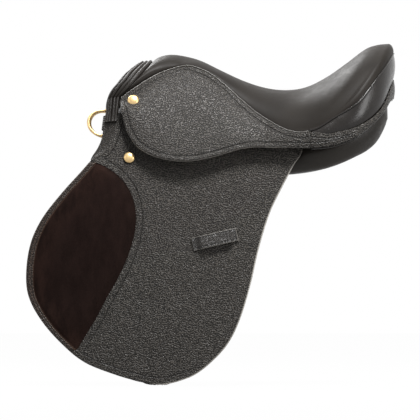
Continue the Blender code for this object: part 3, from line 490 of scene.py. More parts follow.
def dressed(material, body, height, distance, sockets, strength=1.0):
    """Joins a colour, a relief and further values to a material's shader."""
    tree = material.node_tree
    bump = add_node(tree, "Bump", {"Height": height, "Distance": distance, "Strength": strength})
    sockets = {"Base Color": body, "Normal": bump.outputs["Normal"], **sockets}
    join(tree, tree.nodes["Principled BSDF"], sockets)
    return material


def make_pebble_group():
    """Pebbled grain: worm-like raised pebbles parted by creases, with fine wrinkles over them. Its crease
    mask also paints shade into the creases, and its shade mask paints a highlight on the pebble tops.
    """
    group, start, end = new_group(
        "pebble_grain", {"Position": None, "Cells": 240.0}, ("Height", "CreaseAndShading", "Patch", "PaintedHighlight")
    )
    at, cells = start.outputs["Position"], start.outputs["Cells"]
    stretch = 1.5  # waves of the pattern in each of its cells
    scale = maths(group, "DIVIDE", cells, stretch)
    sockets = {"Vector": at, "Scale": scale, "Frequency": stretch, "Anisotropy": 0.0}
    worm = add_node(group, "TexGabor", sockets, gabor_type="3D").outputs["Value"]
    fine = times(group, noise(group, at, times(group, cells, 2.6), 1.0), 0.3)
    height = maths(group, "ADD", times(group, scaled(group, worm, 0.38, 0.64), 0.85), fine)
    join(group, end, {
        "Height": height,
        # Crease: the low ground between pebbles; it sets roughness and paints shade into the creases.
        "CreaseAndShading": scaled(group, worm, 0.36, 0.48, 1.0, 0.0),
        "Patch": scaled(group, noise(group, at, 24.0, 3.0), 0.3, 0.7),
        # Shade: painted highlight on the pebble tops, and painted shade on their low sides.
        "PaintedHighlight": scaled(group, worm, 0.42, 0.66),
    })
    return group


def make_seam_group():
    """A pressed line at a distance from a piece's edge, and the raised, paler edge itself. The paler edge is
    the real cut edge on the flap and a painted highlight on the skirt and keeper.
    """
    sizes = {"Line": 0.008, "Width": LINE_WIDTH, "Rim": 0.0012}
    group, start, end = new_group("edge_finish", sizes, ("Groove", "Edge"))
    rim = attribute(group, "rim")
    off = maths(group, "ABSOLUTE", less(group, rim, start.outputs["Line"]))
    groove = less(group, 1.0, scaled(group, maths(group, "DIVIDE", off, start.outputs["Width"]), 0.0, 1.0))
    edge = less(group, 1.0, scaled(group, maths(group, "DIVIDE", rim, start.outputs["Rim"]), 0.2, 1.0))
    join(group, end, {
        "Groove": times(group, groove, attribute(group, "sewn")),
        "Edge": times(group, edge, attribute(group, "pale_edge_and_highlight")),
    })
    return group


PEBBLE = make_pebble_group()
SEAM = make_seam_group()
# Colour of the paler edge: the real cut edge on the flap, and a painted highlight along the skirt's and
# keeper's edges.
CUT_EDGE_AND_HIGHLIGHT = (0.34, 0.32, 0.29)


def grouped(tree, group, sockets):
    return add_node(tree, "Group", sockets, node_tree=group).outputs


def grain_leather(
    name, colour, line=None, cells=320.0, depth=0.0011, rough=(0.34, 0.6), rim=0.0012, shine=0.16
):
    """Pebbled black leather, with a stitch groove at a distance from its edge and a paler edge. Its colour
    carries painted highlight on the pebble tops and painted shade in the creases and the groove; the paler
    edge is a cut edge on the flap and a painted highlight on the skirt and keeper.
    """
    material, tree = new_material(name)
    grain = grouped(tree, PEBBLE, {"Position": position(tree), "Cells": cells})
    painted_shade_tone = tone(colour, 0.22)
    # Painted highlight on the pebble tops, painted shade on their low sides.
    body = blended(tree, grain["PaintedHighlight"], tone(colour, 0.45), tone(colour, 1.6))
    body = blended(tree, times(tree, grain["Patch"], 0.15), body, tone(colour))
    # Painted shade in the creases between pebbles.
    body = blended(tree, grain["CreaseAndShading"], body, painted_shade_tone)
    height = grain["Height"]
    if line is not None:
        seam = grouped(tree, SEAM, {"Line": line, "Rim": rim})
        # Painted shade in the stitch groove.
        body = blended(tree, times(tree, seam["Groove"], 0.9), body, painted_shade_tone)
        # Paler edge, partly the cut edge and partly a painted highlight.
        body = blended(tree, seam["Edge"], body, tone(CUT_EDGE_AND_HIGHLIGHT))
        height = times(tree, height, less(tree, 1.0, times(tree, seam["Edge"], 0.8)))
        height = less(tree, height, seam["Groove"])
    roughness = scaled(tree, grain["CreaseAndShading"], 0.0, 1.0, *rough)
    return dressed(material, body, height, depth, {"Roughness": roughness, "Specular IOR Level": shine})


def smooth_leather(name, colour, rough, depth=0.00012, crease=0.0, shine=0.4):
    """Satin leather with pores, faint creases and uneven polish."""
    material, tree = new_material(name)
    at = position(tree)
    pores = add_node(tree, "TexVoronoi", {"Vector": at, "Scale": 900.0}, feature="DISTANCE_TO_EDGE")
    pores = scaled(tree, pores.outputs["Distance"], 0.0, 0.2)
    wrinkle = noise(tree, at, 60.0, 5.0, Distortion=0.8)
    body = blended(tree, scaled(tree, noise(tree, at, 16.0, 4.0), 0.3, 0.7), tone(colour), tone(colour, 1.35))
    height = maths(tree, "ADD", times(tree, pores, 0.35), times(tree, wrinkle, crease + 0.5))
    roughness = scaled(tree, wrinkle, 0.35, 0.65, *rough)
    return dressed(material, body, height, depth, {"Roughness": roughness, "Specular IOR Level": shine})


def suede():
    """Dark brown suede: short nap, brushed lighter and darker in soft patches."""
    material, tree = new_material("knee_suede")
    at = position(tree)
    brushed = add_node(
        tree, "Mapping", {"Vector": at, "Scale": (1.0, 1.0, 0.35), "Rotation": (0.0, 0.5, 0.0)}
    ).outputs[0]
    stroke = noise(tree, brushed, 60.0, 6.0, Roughness=0.65)
    nap = noise(tree, at, 1300.0, 2.0)
    rubbed = times(
        tree, scaled(tree, attribute(tree, "rim"), 0.004, 0.045, 1.0, 0.0), scaled(tree, stroke, 0.3, 0.7)
    )
    edge = grouped(tree, SEAM, {"Line": 0.0, "Rim": 0.0042})["Edge"]
    body = tone((0.0055, 0.0027, 0.0022))
    for share, colour in (
        (scaled(tree, stroke, 0.35, 0.68), (0.011, 0.0058, 0.0048)),
        (times(tree, scaled(tree, nap, 0.35, 0.7), 0.45), (0.019, 0.0115, 0.0095)),
        (times(tree, rubbed, 0.55), (0.024, 0.012, 0.009)),
        (edge, (0.072, 0.043, 0.031)),
    ):
        body = blended(tree, share, body, tone(colour))
    height = maths(tree, "ADD", times(tree, nap, 0.6), stroke)
    return dressed(material, body, height, 0.0006, {
        "Roughness": 1.0, "Specular IOR Level": 0.03, "Sheen Weight": 0.03, "Sheen Roughness": 0.5,
    }, 0.8)


def metal(name, colour, rough, scale=300.0, depth=0.00006):
    """Cast and polished metal, with faint scratches and duller hollows."""
    material, tree = new_material(name)
    smear = noise(tree, position(tree), scale, 4.0)
    body = blended(tree, scaled(tree, smear, 0.35, 0.7), tone(colour), tone(colour, 0.78))
    roughness = scaled(tree, smear, 0.3, 0.7, *rough)
    return dressed(material, body, smear, depth, {"Roughness": roughness, "Metallic": 1.0}, 0.6)


def webbing():
    """Jute web: a plain weave of thick yarns."""
    material, tree = new_material("jute_web")
    at = position(tree)
    weave = maths(tree, "MAXIMUM", waves(tree, at, 260.0, "X", 1.0), waves(tree, at, 260.0, "Y", 1.0))
    body = blended(tree, weave, (0.26, 0.21, 0.14, 1), (0.55, 0.48, 0.36, 1))
    return dressed(material, body, weave, 0.0005, {"Roughness": 0.9}, 0.8)


def laminated_wood():
    """Beech plies: pale wood with fine grain lines."""
    material, tree = new_material("beech_ply")
    stretched = {"Vector": position(tree), "Scale": (1.0, 8.0, 8.0)}
    lines = noise(tree, add_node(tree, "Mapping", stretched).outputs[0], 60.0, 5.0)
    body = blended(tree, scaled(tree, lines, 0.3, 0.7), (0.36, 0.23, 0.12, 1), (0.56, 0.4, 0.24, 1))
    roughness = scaled(tree, lines, 0.3, 0.7, 0.45, 0.65)
    return dressed(material, body, lines, 0.0002, {"Roughness": roughness}, 0.5)


def waxed_thread():
    """Waxed thread: tight twist and a slight shine."""
    material, tree = new_material("waxed_thread")
    twist = waves(tree, position(tree), 1800.0, "DIAGONAL")
    body = blended(tree, twist, (0.006, 0.006, 0.006, 1), (0.022, 0.021, 0.02, 1))
    join(tree, tree.nodes["Principled BSDF"], {"Base Color": body, "Roughness": 0.6})
    return material


GRAIN = (0.037, 0.0335, 0.0295)
SATIN = (0.012, 0.0102, 0.0086)
flap_leather = grain_leather("flap_leather", GRAIN, line=FLAP_LINE, rim=0.0026)
skirt_leather = grain_leather("skirt_leather", GRAIN, line=SKIRT_LINE, shine=0.21)
strip_leather = grain_leather("strip_leather", GRAIN, line=SKIRT_LINE, shine=0.17)
strap_leather = grain_leather("strap_leather", GRAIN, cells=420.0, depth=0.0003)
leg_leather = grain_leather("leg_leather", (0.03, 0.027, 0.0238), cells=420.0, depth=0.0004)
keeper_leather = grain_leather(
    "keeper_leather", (0.026, 0.0235, 0.021), NARROW_LINE, cells=420.0, depth=0.0005, rough=(0.3, 0.5),
    shine=0.26,
)
binding_leather = grain_leather(
    "binding_leather", (0.046, 0.033, 0.026), NARROW_LINE, depth=0.0005, shine=0.15
)
seat_leather = smooth_leather("seat_leather", SATIN, (0.44, 0.52), depth=0.00003, shine=0.09)
band_leather = smooth_leather("band_leather", SATIN, (0.36, 0.46), depth=0.00005, crease=0.3, shine=0.12)
facing_leather = smooth_leather(
    "facing_leather", (0.0085, 0.007, 0.006), (0.18, 0.27), depth=0.00006, crease=0.3, shine=0.32
)
# The welt's pale colour is a painted highlight along the seat's edge above the skirt.
welt_highlight_leather = smooth_leather("welt_highlight_leather", (0.09, 0.085, 0.078), (0.25, 0.35), shine=0.5)
lining_leather = smooth_leather("lining_leather", (0.022, 0.019, 0.016), (0.36, 0.52), crease=0.4, shine=0.25)
panel_leather = smooth_leather("panel_leather", (0.016, 0.014, 0.012), (0.3, 0.46), crease=0.6, shine=0.14)
foam = smooth_leather("foam", (0.6, 0.55, 0.42), (0.9, 0.95), depth=0.0003)
knee_suede = suede()
brass = metal("polished_brass", (0.72, 0.51, 0.25), (0.32, 0.46), scale=120.0, depth=0.00001)
bar_steel = metal("bar_steel", (0.62, 0.62, 0.61), (0.25, 0.42))
spring_steel = metal("spring_steel", (0.13, 0.13, 0.14), (0.35, 0.5))
jute = webbing()
beech = laminated_wood()
thread = waxed_thread()


# Pieces


def crowd(share, count, width, radius):
    """Moves the lines next to both edges of a grid to fixed distances from them, for a rolled edge."""
    near = np.array([0.0, 0.12, 0.4, 1.0, 1.9]) * radius
    last = len(near) - 1
    n = share * count
    inner = mix(near[-1], width - near[-1], (n - last) / (count - 2 * last))
    front = np.interp(n, np.arange(last + 1), near)
    rear = width - np.interp(count - n, np.arange(last + 1), near)
    place = np.where(n <= last, front, np.where(n >= count - last, rear, inner))
    return place / width


def roll(mesh, radius, bead=0.0, bead_at=0.003, groove=0.0):
    """Rounds the outer side of a sheet's edge, and swells or presses it by its distance from the edge."""
    points = coordinates(mesh)
    rim = np.empty(len(points), np.float32)
    mesh.attributes["rim"].data.foreach_get("value", rim)
    normals = coordinates(mesh, "normal").astype(np.float32)
    near = 1 - np.clip(rim / radius, 0, 1)
    lift = -radius * (1 - np.sqrt(np.maximum(1 - near**2, 0)))
    lift = lift + bead * np.exp(-(((rim - bead_at) / (bead_at * 0.6)) ** 2)) * (near < 0.999)
    lift = lift - groove * np.exp(-(((rim - SKIRT_LINE) / LINE_WIDTH) ** 2))
    set_coordinates(mesh, points + normals * lift[:, None])
    mesh.update()
    return mesh


def rim_point(v):
    return seat_surface(np.ones_like(np.asarray(v, float)), mix(-HALF, HALF, v))


def outwards(place):
    return unit(stack(place[..., 0] - 0.1, place[..., 1], 0))


def cantle_wrap(v, t):
    """The cover turned over the top of the cantle: t runs from the rim to the piped seam behind it."""
    rim = rim_point(v)
    full = ramp(np.cos(mix(-HALF, HALF, v)), 0.1, 0.5)
    out = (0.001 + 0.0072 * full) * np.sin(t * HALF)
    down = (0.0012 + 0.0132 * full) * (1 - np.cos(t * HALF))
    place = rim + outwards(rim) * out[..., None]
    place[..., 2] -= down
    return place


def make_seat():
    wrap = 0.07  # share of the grid's length that turns over the cantle
    apron = 0.05  # share of its width that goes down behind the skirts

    def at(u, v):
        t = np.clip((u - 1 + wrap) / wrap, 0, 1)
        side = np.clip((np.abs(2 * v - 1) - 1 + apron) / apron, 0, 1)
        across = np.clip((v - apron / 2) / (1 - apron), 0, 1)
        place = seat_surface(np.clip(u / (1 - wrap), 0, 1), mix(-HALF, HALF, across))
        place = np.where((t > 0)[..., None], cantle_wrap(across, t), place)
        fall = side * (1 - 0.75 * t)
        place[..., 2] -= 0.016 * fall
        place[..., 1] -= np.sign(2 * v - 1) * 0.004 * fall**2
        return place

    mesh = roll(grid("seat_cover", 130, 110, at, 0.3, 0.6), 0.001)
    seat = centred("seat_cover", mesh, seat_leather, ["seat_leather"], skin(COVER_LEATHER))

    def foam_at(u, v):
        place = seat_surface(mix(0.03, 0.97, u), mix(-1.06, 1.06, v))
        return place * np.array([1, 0.985, 1]) - np.array([0, 0, 0.0042])

    mesh = grid("seat_pad", 40, 30, foam_at)
    pad = centred("seat_pad", mesh, foam, ["seat_foam"], skin(SEAT_FOAM, 0.3))


def rear_edge(v):
    """Up one leg of the bands, along the front edge of the seat, and down the other."""
    leg = 0.16
    v = np.asarray(v, float)
    middle = seat_surface(np.zeros_like(v), mix(-HALF, HALF, np.clip((v - leg) / (1 - 2 * leg), 0, 1)))
    down = np.clip(np.where(v < leg, (leg - v) / leg, (v - 1 + leg) / leg), 0, 1)
    side = np.where(v < 0.5, -1, 1)
    x0, y0, z0 = SEAT_EDGE[0][1:]
    end_y = side_width(0.083) - 0.0002
    foot = stack(mix(x0, -0.168, down), side * mix(y0, end_y, down), mix(z0, 0.083, down))
    outer = (v < leg) | (v > 1 - leg)
    return np.where(outer[..., None], foot, middle)


def make_bands():
    def band(start, end, drop_start, drop_end, crown):
        def at(u, v):
            edge = rear_edge(v)
            reach = edge[..., 0] - head_front(edge[..., 2])
            inwards = unit(stack(0, -edge[..., 1], 0.06 - edge[..., 2]))
            u = 1 - u
            ridges = np.abs(np.sin(2 * np.pi * u)) ** 0.6 * mix(1.0, 0.85, u)
            foot = ramp(np.minimum(v, 1 - v), 0.0, 0.1)
            ribs = 0.00012 * np.sin(v * 900) * ramp(foot, 0.2, 0.8) * (start > 0.3)
            drop = mix(drop_start, drop_end, u * u) - 0.001 - crown * mix(0.35, 1.0, foot) * ridges - ribs
            place = edge + inwards * drop[..., None]
            place[..., 0] -= mix(start, end, u) * reach
            return place

        return at

    for name, shape, node in (
        ("pommel_strip_rear", band(-0.03, 0.5, 0.0, 0.0012, 0.003), "pommel_band_rear"),
        ("pommel_strip_front", band(0.5, 1.0, 0.0012, 0.0078, 0.003), "pommel_band_front"),
    ):
        centred(name, grid(name, 40, 420, shape), band_leather, [node], skin(COVER_LEATHER)[:1])


def make_facing_legs():
    def at(u, v):
        z = mix(0.024, 0.09, v)
        front = head_front(z)
        rear = np.maximum(flap_front(z) + 0.008, front + 0.006)
        top = ramp(z, 0.06, 0.086)
        depth = mix(mix(0.011, 0.0052, top), mix(0.0046, 0.0012, top), ramp(u, 0.0, 0.75))
        return flap_point(mix(front, rear, u), z, depth)

    mesh = grid("front_facing_left", 26, 36, at)
    nodes = ["facing_leg_left"]
    add("front_facing_left", mesh, leg_leather, "saddle", nodes, skin(COVER_LEATHER))


def cantle_seam(v, drop=0.0):
    turn = mix(-HALF, HALF, np.asarray(v, float))
    knots = seam_line(np.abs(turn))
    side = np.where(turn < 0, -1, 1)
    return stack(knots[..., 0], knots[..., 1] * side, knots[..., 2] - drop * facing_height(np.abs(turn)))


def tube(name, path, radius, sides=10, closed=False):
    """A round cord along a path, as a mesh."""
    curve_data = bpy.data.curves.new(name, "CURVE")
    curve_data.dimensions = "3D"
    curve_data.bevel_depth = radius
    curve_data.bevel_resolution = max(0, sides // 2 - 2)
    curve_data.use_fill_caps = not closed
    line = curve_data.splines.new("POLY")
    line.points.add(len(path) - 1)
    for point, place in zip(line.points, path):
        point.co = (*place, 1)
    line.use_cyclic_u = closed
    obj = new_object(name, curve_data)
    graph = bpy.context.evaluated_depsgraph_get()
    mesh = bpy.data.meshes.new_from_object(obj.evaluated_get(graph))
    bpy.data.objects.remove(obj)
    mesh.materials.clear()
    return closed_up(mesh, MATCHED)


def closed_up(mesh, merge=0.00004):
    """Merges the points that meet and turns all faces outwards."""
    bm = bmesh.new()
    bm.from_mesh(mesh)
    bmesh.ops.remove_doubles(bm, verts=bm.verts, dist=merge)
    bmesh.ops.recalc_face_normals(bm, faces=bm.faces)
    return as_mesh(bm, mesh=mesh)


def make_cantle():
    v = np.linspace(0, 1, 150)
    place = cantle_wrap(v, np.ones_like(v)) + np.array([0, 0, -0.0008])
    place -= outwards(place) * 0.0003
    piping = tube("cantle_piping", place, PIPING_RADIUS)
    centred("cantle_piping", piping, facing_leather, ["seat_welt"])

    def facing(u, v):
        v = mix(0.003, 0.997, v)
        low = cantle_seam(v, 0.12)
        top = cantle_wrap(v, np.ones_like(v))
        top[..., 2] -= 0.0022
        place = top + (low - top) * u[..., None]
        corner = np.abs(2 * v - 1)
        bulge = 0.0034 * np.sin(np.pi * u) ** 0.8 - 0.0002
        fold = np.sin(corner * 420 + 9 * u) * ramp(corner, 0.8, 0.92) * np.sin(np.pi * u)
        out = bulge * (1 - 0.7 * ramp(corner, 0.9, 1.0)) + 0.0006 * fold
        return place + outwards(place) * out[..., None]

    mesh = grid("rear_facing", 36, 320, facing)
    centred("rear_facing", mesh, facing_leather, ["cantle_facing"], skin(COVER_LEATHER))

    def strip(u, v):
        place = cantle_seam(v, u)
        corner = np.abs(2 * v - 1)
        place[..., 2] += ramp(corner, 0.9, 1.0) * mix(0.007, 0.0, u)
        bulge = 0.0026 * np.sin(np.pi * u) ** 0.7 + 0.0012
        return place + outwards(place) * bulge[..., None]

    mesh = grid("rear_strip", 26, 220, strip, 0.5, open_ends=("v0", "v1"))
    roll(mesh, 0.0012, bead=0.0004, bead_at=0.0024)
    centred("rear_strip", mesh, strip_leather, ["cantle_strip"], skin(FLAP_FACE)[:1])
    v = np.linspace(0.004, 0.996, 200)
    place = cantle_seam(v, np.full_like(v, 1.0))
    place = place - outwards(place) * 0.0006 - np.array([0, 0, 0.001])
    piping = tube("strip_piping", place, STRIP_PIPING_RADIUS, 8)
    centred("strip_piping", piping, facing_leather)


SKIRT_PARTS = 0.7  # share of the skirt's length that can be lifted
SEAT_PARTS = 0.66  # share of the seat's edge beside it


def skirt_top(w):
    tail = mix(SEAT_PARTS, 1.0, (w - SKIRT_PARTS) / (1 - SKIRT_PARTS))
    edge = seat_edge(np.where(w < SKIRT_PARTS, SEAT_PARTS * w / SKIRT_PARTS, tail))
    end = ramp(w, 0.97, 1.0)
    y = -edge[..., 1] - 0.0026 - 0.0012 * end
    return stack(edge[..., 0] + 0.003 * end, y, edge[..., 2] - 0.0022 - 0.0008 * end)


def skirt_bottom(w):
    knots = skirt_hem(w / SKIRT_PARTS)
    t = (w - SKIRT_PARTS) / (1 - SKIRT_PARTS)
    tail = stack(mix(0.062, 0.1315, t), -0.1345 - 0.0012 * t, mix(0.0425, 0.0412, t))
    hem = stack(knots[..., 0], -knots[..., 1], knots[..., 2])
    return np.where((w < SKIRT_PARTS)[..., None], hem, tail)


def make_skirt():
    start, end = (np.array(p) for p in SKIRT_BEND)

    def at(w, v):
        top, bottom = skirt_top(w), skirt_bottom(w)
        u = np.minimum(w / SKIRT_PARTS, 1)[..., None]
        bend = start + (end - start) * u
        middle = np.where((w < SKIRT_PARTS)[..., None], bend, top + (bottom - top) * 0.944)
        upper = np.linalg.norm(middle - top, axis=-1)
        lower = np.linalg.norm(bottom - middle, axis=-1)
        split = np.clip(upper / (upper + lower), 0.5, 0.97)[..., None]
        s = (1 - v)[..., None]
        place = (
            top * ((s - split) * (s - 1)) / (split)
            + middle * (s * (s - 1)) / (split * (split - 1))
            + bottom * (s * (s - split)) / (1 - split)
        )
        below = middle + (bottom - middle) * ((s - split) / (1 - split))
        straight = np.where(s < split, top + (middle - top) * (s / split), below)
        place = mix(straight, place, np.clip((1 - split) / 0.2, 0, 1))
        place[..., 1] -= 0.003 * np.sin(np.pi * s[..., 0])
        return place

    mesh = grid("seat_skirt_left", 150, 80, at, 0.6, 0.6, open_ends=("u1",))
    roll(mesh, 0.0015, bead=0.0006, bead_at=0.0032, groove=0.0004)
    points = coordinates(mesh)
    # Painted highlight along the skirt's rolled edges, strongest at the low front edge.
    front_edge_highlight = ramp(-points[:, 0], 0.1, 0.13) * ramp(-points[:, 2], -0.07, -0.05)
    store(mesh, "pale_edge_and_highlight", 0.45 + 0.55 * front_edge_highlight)
    along_bend = Vector(end - start).normalized()
    down = (Vector((0, 0, -1)) - along_bend * along_bend.dot(Vector((0, 0, -1)))).normalized()
    middle = Vector((start + end) / 2)
    blend = ("saddle", "skirt_left_body", middle - down * 0.01, middle + down * 0.01)
    skirt = add(
        "seat_skirt_left", mesh, skirt_leather, blend, ["skirt_top_left", "skirt_left"],
        skin(SKIRT_LEATHER)[:1],
    )[0]
    w = np.linspace(0.01, 0.99, 260)
    line = skirt_top(w) + np.array([0, -0.0004, 0.0006])
    welt = tube("skirt_welt_left", line, SKIRT_WELT_RADIUS, 8)
    add("skirt_welt_left", welt, welt_highlight_leather, "saddle")
    return skirt, blend


FLAP_BLEND = ("saddle", "flap_left_body", Vector((0, -0.124, 0.024)), Vector((0, -0.124, 0.004)))


def whole_front(z):
    """Front edge of the grain leather: the suede's edge, and the flap's outline above and below it."""
    z = np.asarray(z, float)
    knee = knee_edge(z)
    outline = flap_front(z)
    share = ramp(z, 0.0192, 0.0215)
    low = ramp(-z, 0.268, 0.276)
    return mix(mix(knee, outline, share), outline, low)


def flap_grid(name, columns, rows, front, rear, top, bottom, depth=0.0, radius=0.0012, power=1.7):
    def at(u, v):
        z = bottom + (top - bottom) * v**power
        a, b = front(z), rear(z)
        u = crowd(u, columns, b - a, radius)
        return flap_point(mix(a, b, u), z, depth)

    return grid(name, columns, rows, at)


def make_flap():
    lowest = FLAP_FRONT[-1][0]
    mesh = flap_grid("saddle_flap_left", 130, 210, whole_front, flap_rear, 0.099, lowest, -0.0002, 0.0011)
    roll(mesh, 0.0011, bead=0.0003, bead_at=0.003)
    points = coordinates(mesh)
    middle = (whole_front(points[:, 2]) + flap_rear(points[:, 2])) / 2
    store(mesh, "pale_edge_and_highlight", ramp(points[:, 0] - middle, -0.02, 0.01) * ramp(-points[:, 2], -0.045, 0.02))
    store(mesh, "sewn", 1 - ramp(points[:, 0], -0.06, -0.03))
    main = add(
        "saddle_flap_left", mesh, flap_leather, FLAP_BLEND, ["flap_top_left", "flap_left"],
        skin(FLAP_FACE)[:1],
    )[0]
    mesh = flap_grid("flap_lining_left", 70, 110, flap_front, flap_rear, 0.0985, lowest, 0.0021, 0.001)
    add("flap_lining_left", mesh, lining_leather, FLAP_BLEND, (), skin(FLAP_LINING)[:1])

    def pad(u, v):
        z = mix(-0.27, 0.019, v)
        front = flap_front(z) + BINDING_WIDTH + 0.0015
        rear = knee_edge(z) + 0.001
        x = mix(front, rear, u)
        width = np.maximum(rear - front, 0.001)
        from_rear = (1 - u) * width
        ends = ramp(v, 0.0, 0.16) * ramp(1 - v, 0.0, 0.05)
        rise = 0.0012 + 0.0034 * ends * ramp(from_rear, 0.0, 0.016) * ramp(u * width, -0.004, 0.012)
        soft = 0.0004 * np.sin(z * 61 + x * 37) * np.sin(z * 23 - x * 71) * ramp(from_rear, 0.01, 0.03)
        return flap_point(x, z, 0.0016 - rise - soft)

    mesh = grid("knee_insert_left", 60, 150, pad, 0.4, open_ends=("u1", "v0", "v1"))
    store(mesh, "pale_edge_and_highlight", 1.0)
    nodes = ["knee_pad_left"]
    for piece in add("knee_insert_left", mesh, knee_suede, FLAP_BLEND, nodes, skin(SUEDE)[:1]):
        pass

    def binding(u, v):
        z = mix(-0.268, 0.0196, v)
        u = crowd(u, 14, EDGING_WIDTH, 0.0009)
        x = flap_front(z) + 0.0001 + EDGING_WIDTH * u
        crown = 0.0005 * np.sin(np.pi * u)
        return flap_point(x, z, -0.0014 - crown)

    mesh = roll(grid("knee_edging_left", 14, 150, binding), 0.0009)
    edging = add(
        "knee_edging_left", mesh, binding_leather, FLAP_BLEND, ["knee_binding_left"],
        skin(EDGING_LEATHER)[:1],
    )[0]
    return main, edging


def make_keeper():
    across = np.array([math.cos(KEEPER_TILT), 0, math.sin(KEEPER_TILT)])
    upward = np.array([-math.sin(KEEPER_TILT), 0, math.cos(KEEPER_TILT)])

    def at(u, v):
        s = 2 * u - 1
        lift = KEEPER_LEATHER + 0.0005 + 0.0058 * (1 - ramp(np.abs(s), 0.58, 0.86))
        v = crowd(v, 16, KEEPER_WIDTH, 0.0008)
        place = across * (KEEPER_HALF_LENGTH * s)[..., None] + upward * (KEEPER_WIDTH * (v - 0.5))[..., None]
        return flap_point(KEEPER_PLACE[0] + place[..., 0], KEEPER_PLACE[1] + place[..., 2], -lift)

    mesh = roll(grid("flap_keeper_left", 70, 16, at), 0.0008)
    # Paler edges: the cut edge, with a painted highlight over it.
    store(mesh, "pale_edge_and_highlight", 0.4)
    add(
        "flap_keeper_left", mesh, keeper_leather, "flap_left_body", ["keeper_left"],
        skin(KEEPER_LEATHER)[:1],
    )


def make_sweat_flap():
    rear = curve(SWEAT_REAR)

    def front(z):
        return flap_front(z) + 0.016

    mesh = flap_grid("sweat_panel_left", 50, 90, front, rear, 0.04, -0.23, SWEAT_DEPTH, 0.0012, 1.2)
    roll(mesh, 0.0012)
    nodes = ["sweat_flap_left"]
    add("sweat_panel_left", mesh, lining_leather, "saddle", nodes, skin(SWEAT_LEATHER)[:1])

    # Knee cushion: a ball drawn out to the corners, flat on the sweat flap and swollen towards the horse
    bm = bmesh.new()
    bmesh.ops.create_icosphere(bm, subdivisions=6, radius=1)
    mesh = as_mesh(bm, "knee_cushion_left")
    ball = coordinates(mesh)
    u, v = (bent(side, 0.5) * 0.5 + 0.5 for side in (ball[:, 0], ball[:, 2]))
    z = mix(-0.203, -0.013, v)
    x = mix(front(z) + 0.008, rear(z) - 0.01, u)
    back = ball[:, 1]
    swell = np.where(back > 0, 0.0065 * back + 0.0035 * np.minimum(1, 3 * back), 0)
    set_coordinates(mesh, flap_point(x, z, SWEAT_DEPTH + 0.0042 + swell))
    closed_up(mesh)
    store(mesh, "rim", 1.0)
    nodes = ["panel_point_left"]
    for piece in add("knee_cushion_left", mesh, panel_leather, "saddle", nodes):
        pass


def make_panel():
    low, high = PANEL[0][0], PANEL[-1][0]

    def at(u, v):
        x = mix(low, high, u)
        knots = panel_section(x)
        y_in, z_in, y_out, z_out, thick, bow = (knots[..., n] for n in range(6))
        inner = stack(0, -y_in, z_in)
        span = stack(0, -y_out, z_out) - inner
        normal = unit(stack(0, span[..., 2], -span[..., 1]))
        turn = 2 * np.pi * v
        c, s = np.cos(turn), np.sin(turn)
        ends = np.minimum(u, 1 - u) * (high - low)
        full = np.sqrt(np.clip(1 - (1 - np.clip(ends / 0.014, 0, 1)) ** 2, 0, 1))
        thickness = thick / 2 * (0.86 + 0.14 * ramp(ends, 0, 0.04)) * full
        wide = 1 - 0.22 * (1 - full)
        across = bent(c, 0.56) * wide
        up = bent(s, 0.75)
        place = inner + span * (0.5 + 0.5 * across)[..., None]
        place = place + normal * (bow * (1 - across**2) + thickness * up)[..., None]
        place[..., 0] = x + 0.3 * np.maximum(0, place[..., 2] - 0.06) * (1 - u)
        return place

    mesh = grid("panel_cushion_left", 110, 96, at, 0.5)
    closed_up(mesh)
    for piece in add("panel_cushion_left", mesh, panel_leather, "saddle", ["panel_left"]):
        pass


def make_nails():
    profile = [  # share of the radius, share of the dome's height
        (0.0, 1.0), (0.22, 0.975), (0.42, 0.9), (0.6, 0.78), (0.76, 0.6), (0.88, 0.38), (0.955, 0.16),
        (0.98, 0.04), (0.97, 0.0), (0.9, -0.02), (0.6, -0.02), (0.0, -0.02),
    ]
    for name, node, place, facing, lift in (
        ("upper_stud_left", "skirt_nail_left", (-0.142, -0.0915, 0.1145), (-0.05, -0.9, 0.42), 0.0042),
        ("lower_stud_left", "flap_nail_left", flap_point(-0.148, 0.0265), (0, -0.95, 0.3), 0.0022),
    ):
        bm = bmesh.new()
        points = [bm.verts.new((NAIL_RADIUS * r, 0, NAIL_DOME * z)) for r, z in profile]
        for a, b in zip(points, points[1:]):
            bm.edges.new((a, b))
        bmesh.ops.spin(
            bm, geom=bm.verts[:] + bm.edges[:], cent=(0, 0, 0), axis=(0, 0, 1), dvec=(0, 0, 0),
            angle=2 * math.pi, steps=48, use_merge=True,
        )
        bmesh.ops.remove_doubles(bm, verts=bm.verts, dist=MATCHED)
        bmesh.ops.recalc_face_normals(bm, faces=bm.faces)
        facing = Vector(facing).normalized()
        turn = facing.to_track_quat("Z", "Y").to_matrix().to_4x4()
        onto = Matrix.Translation(Vector(place) + facing * lift) @ turn
        bmesh.ops.transform(bm, verts=bm.verts, matrix=onto)
        add(name, as_mesh(bm, name), brass, "saddle", [node])


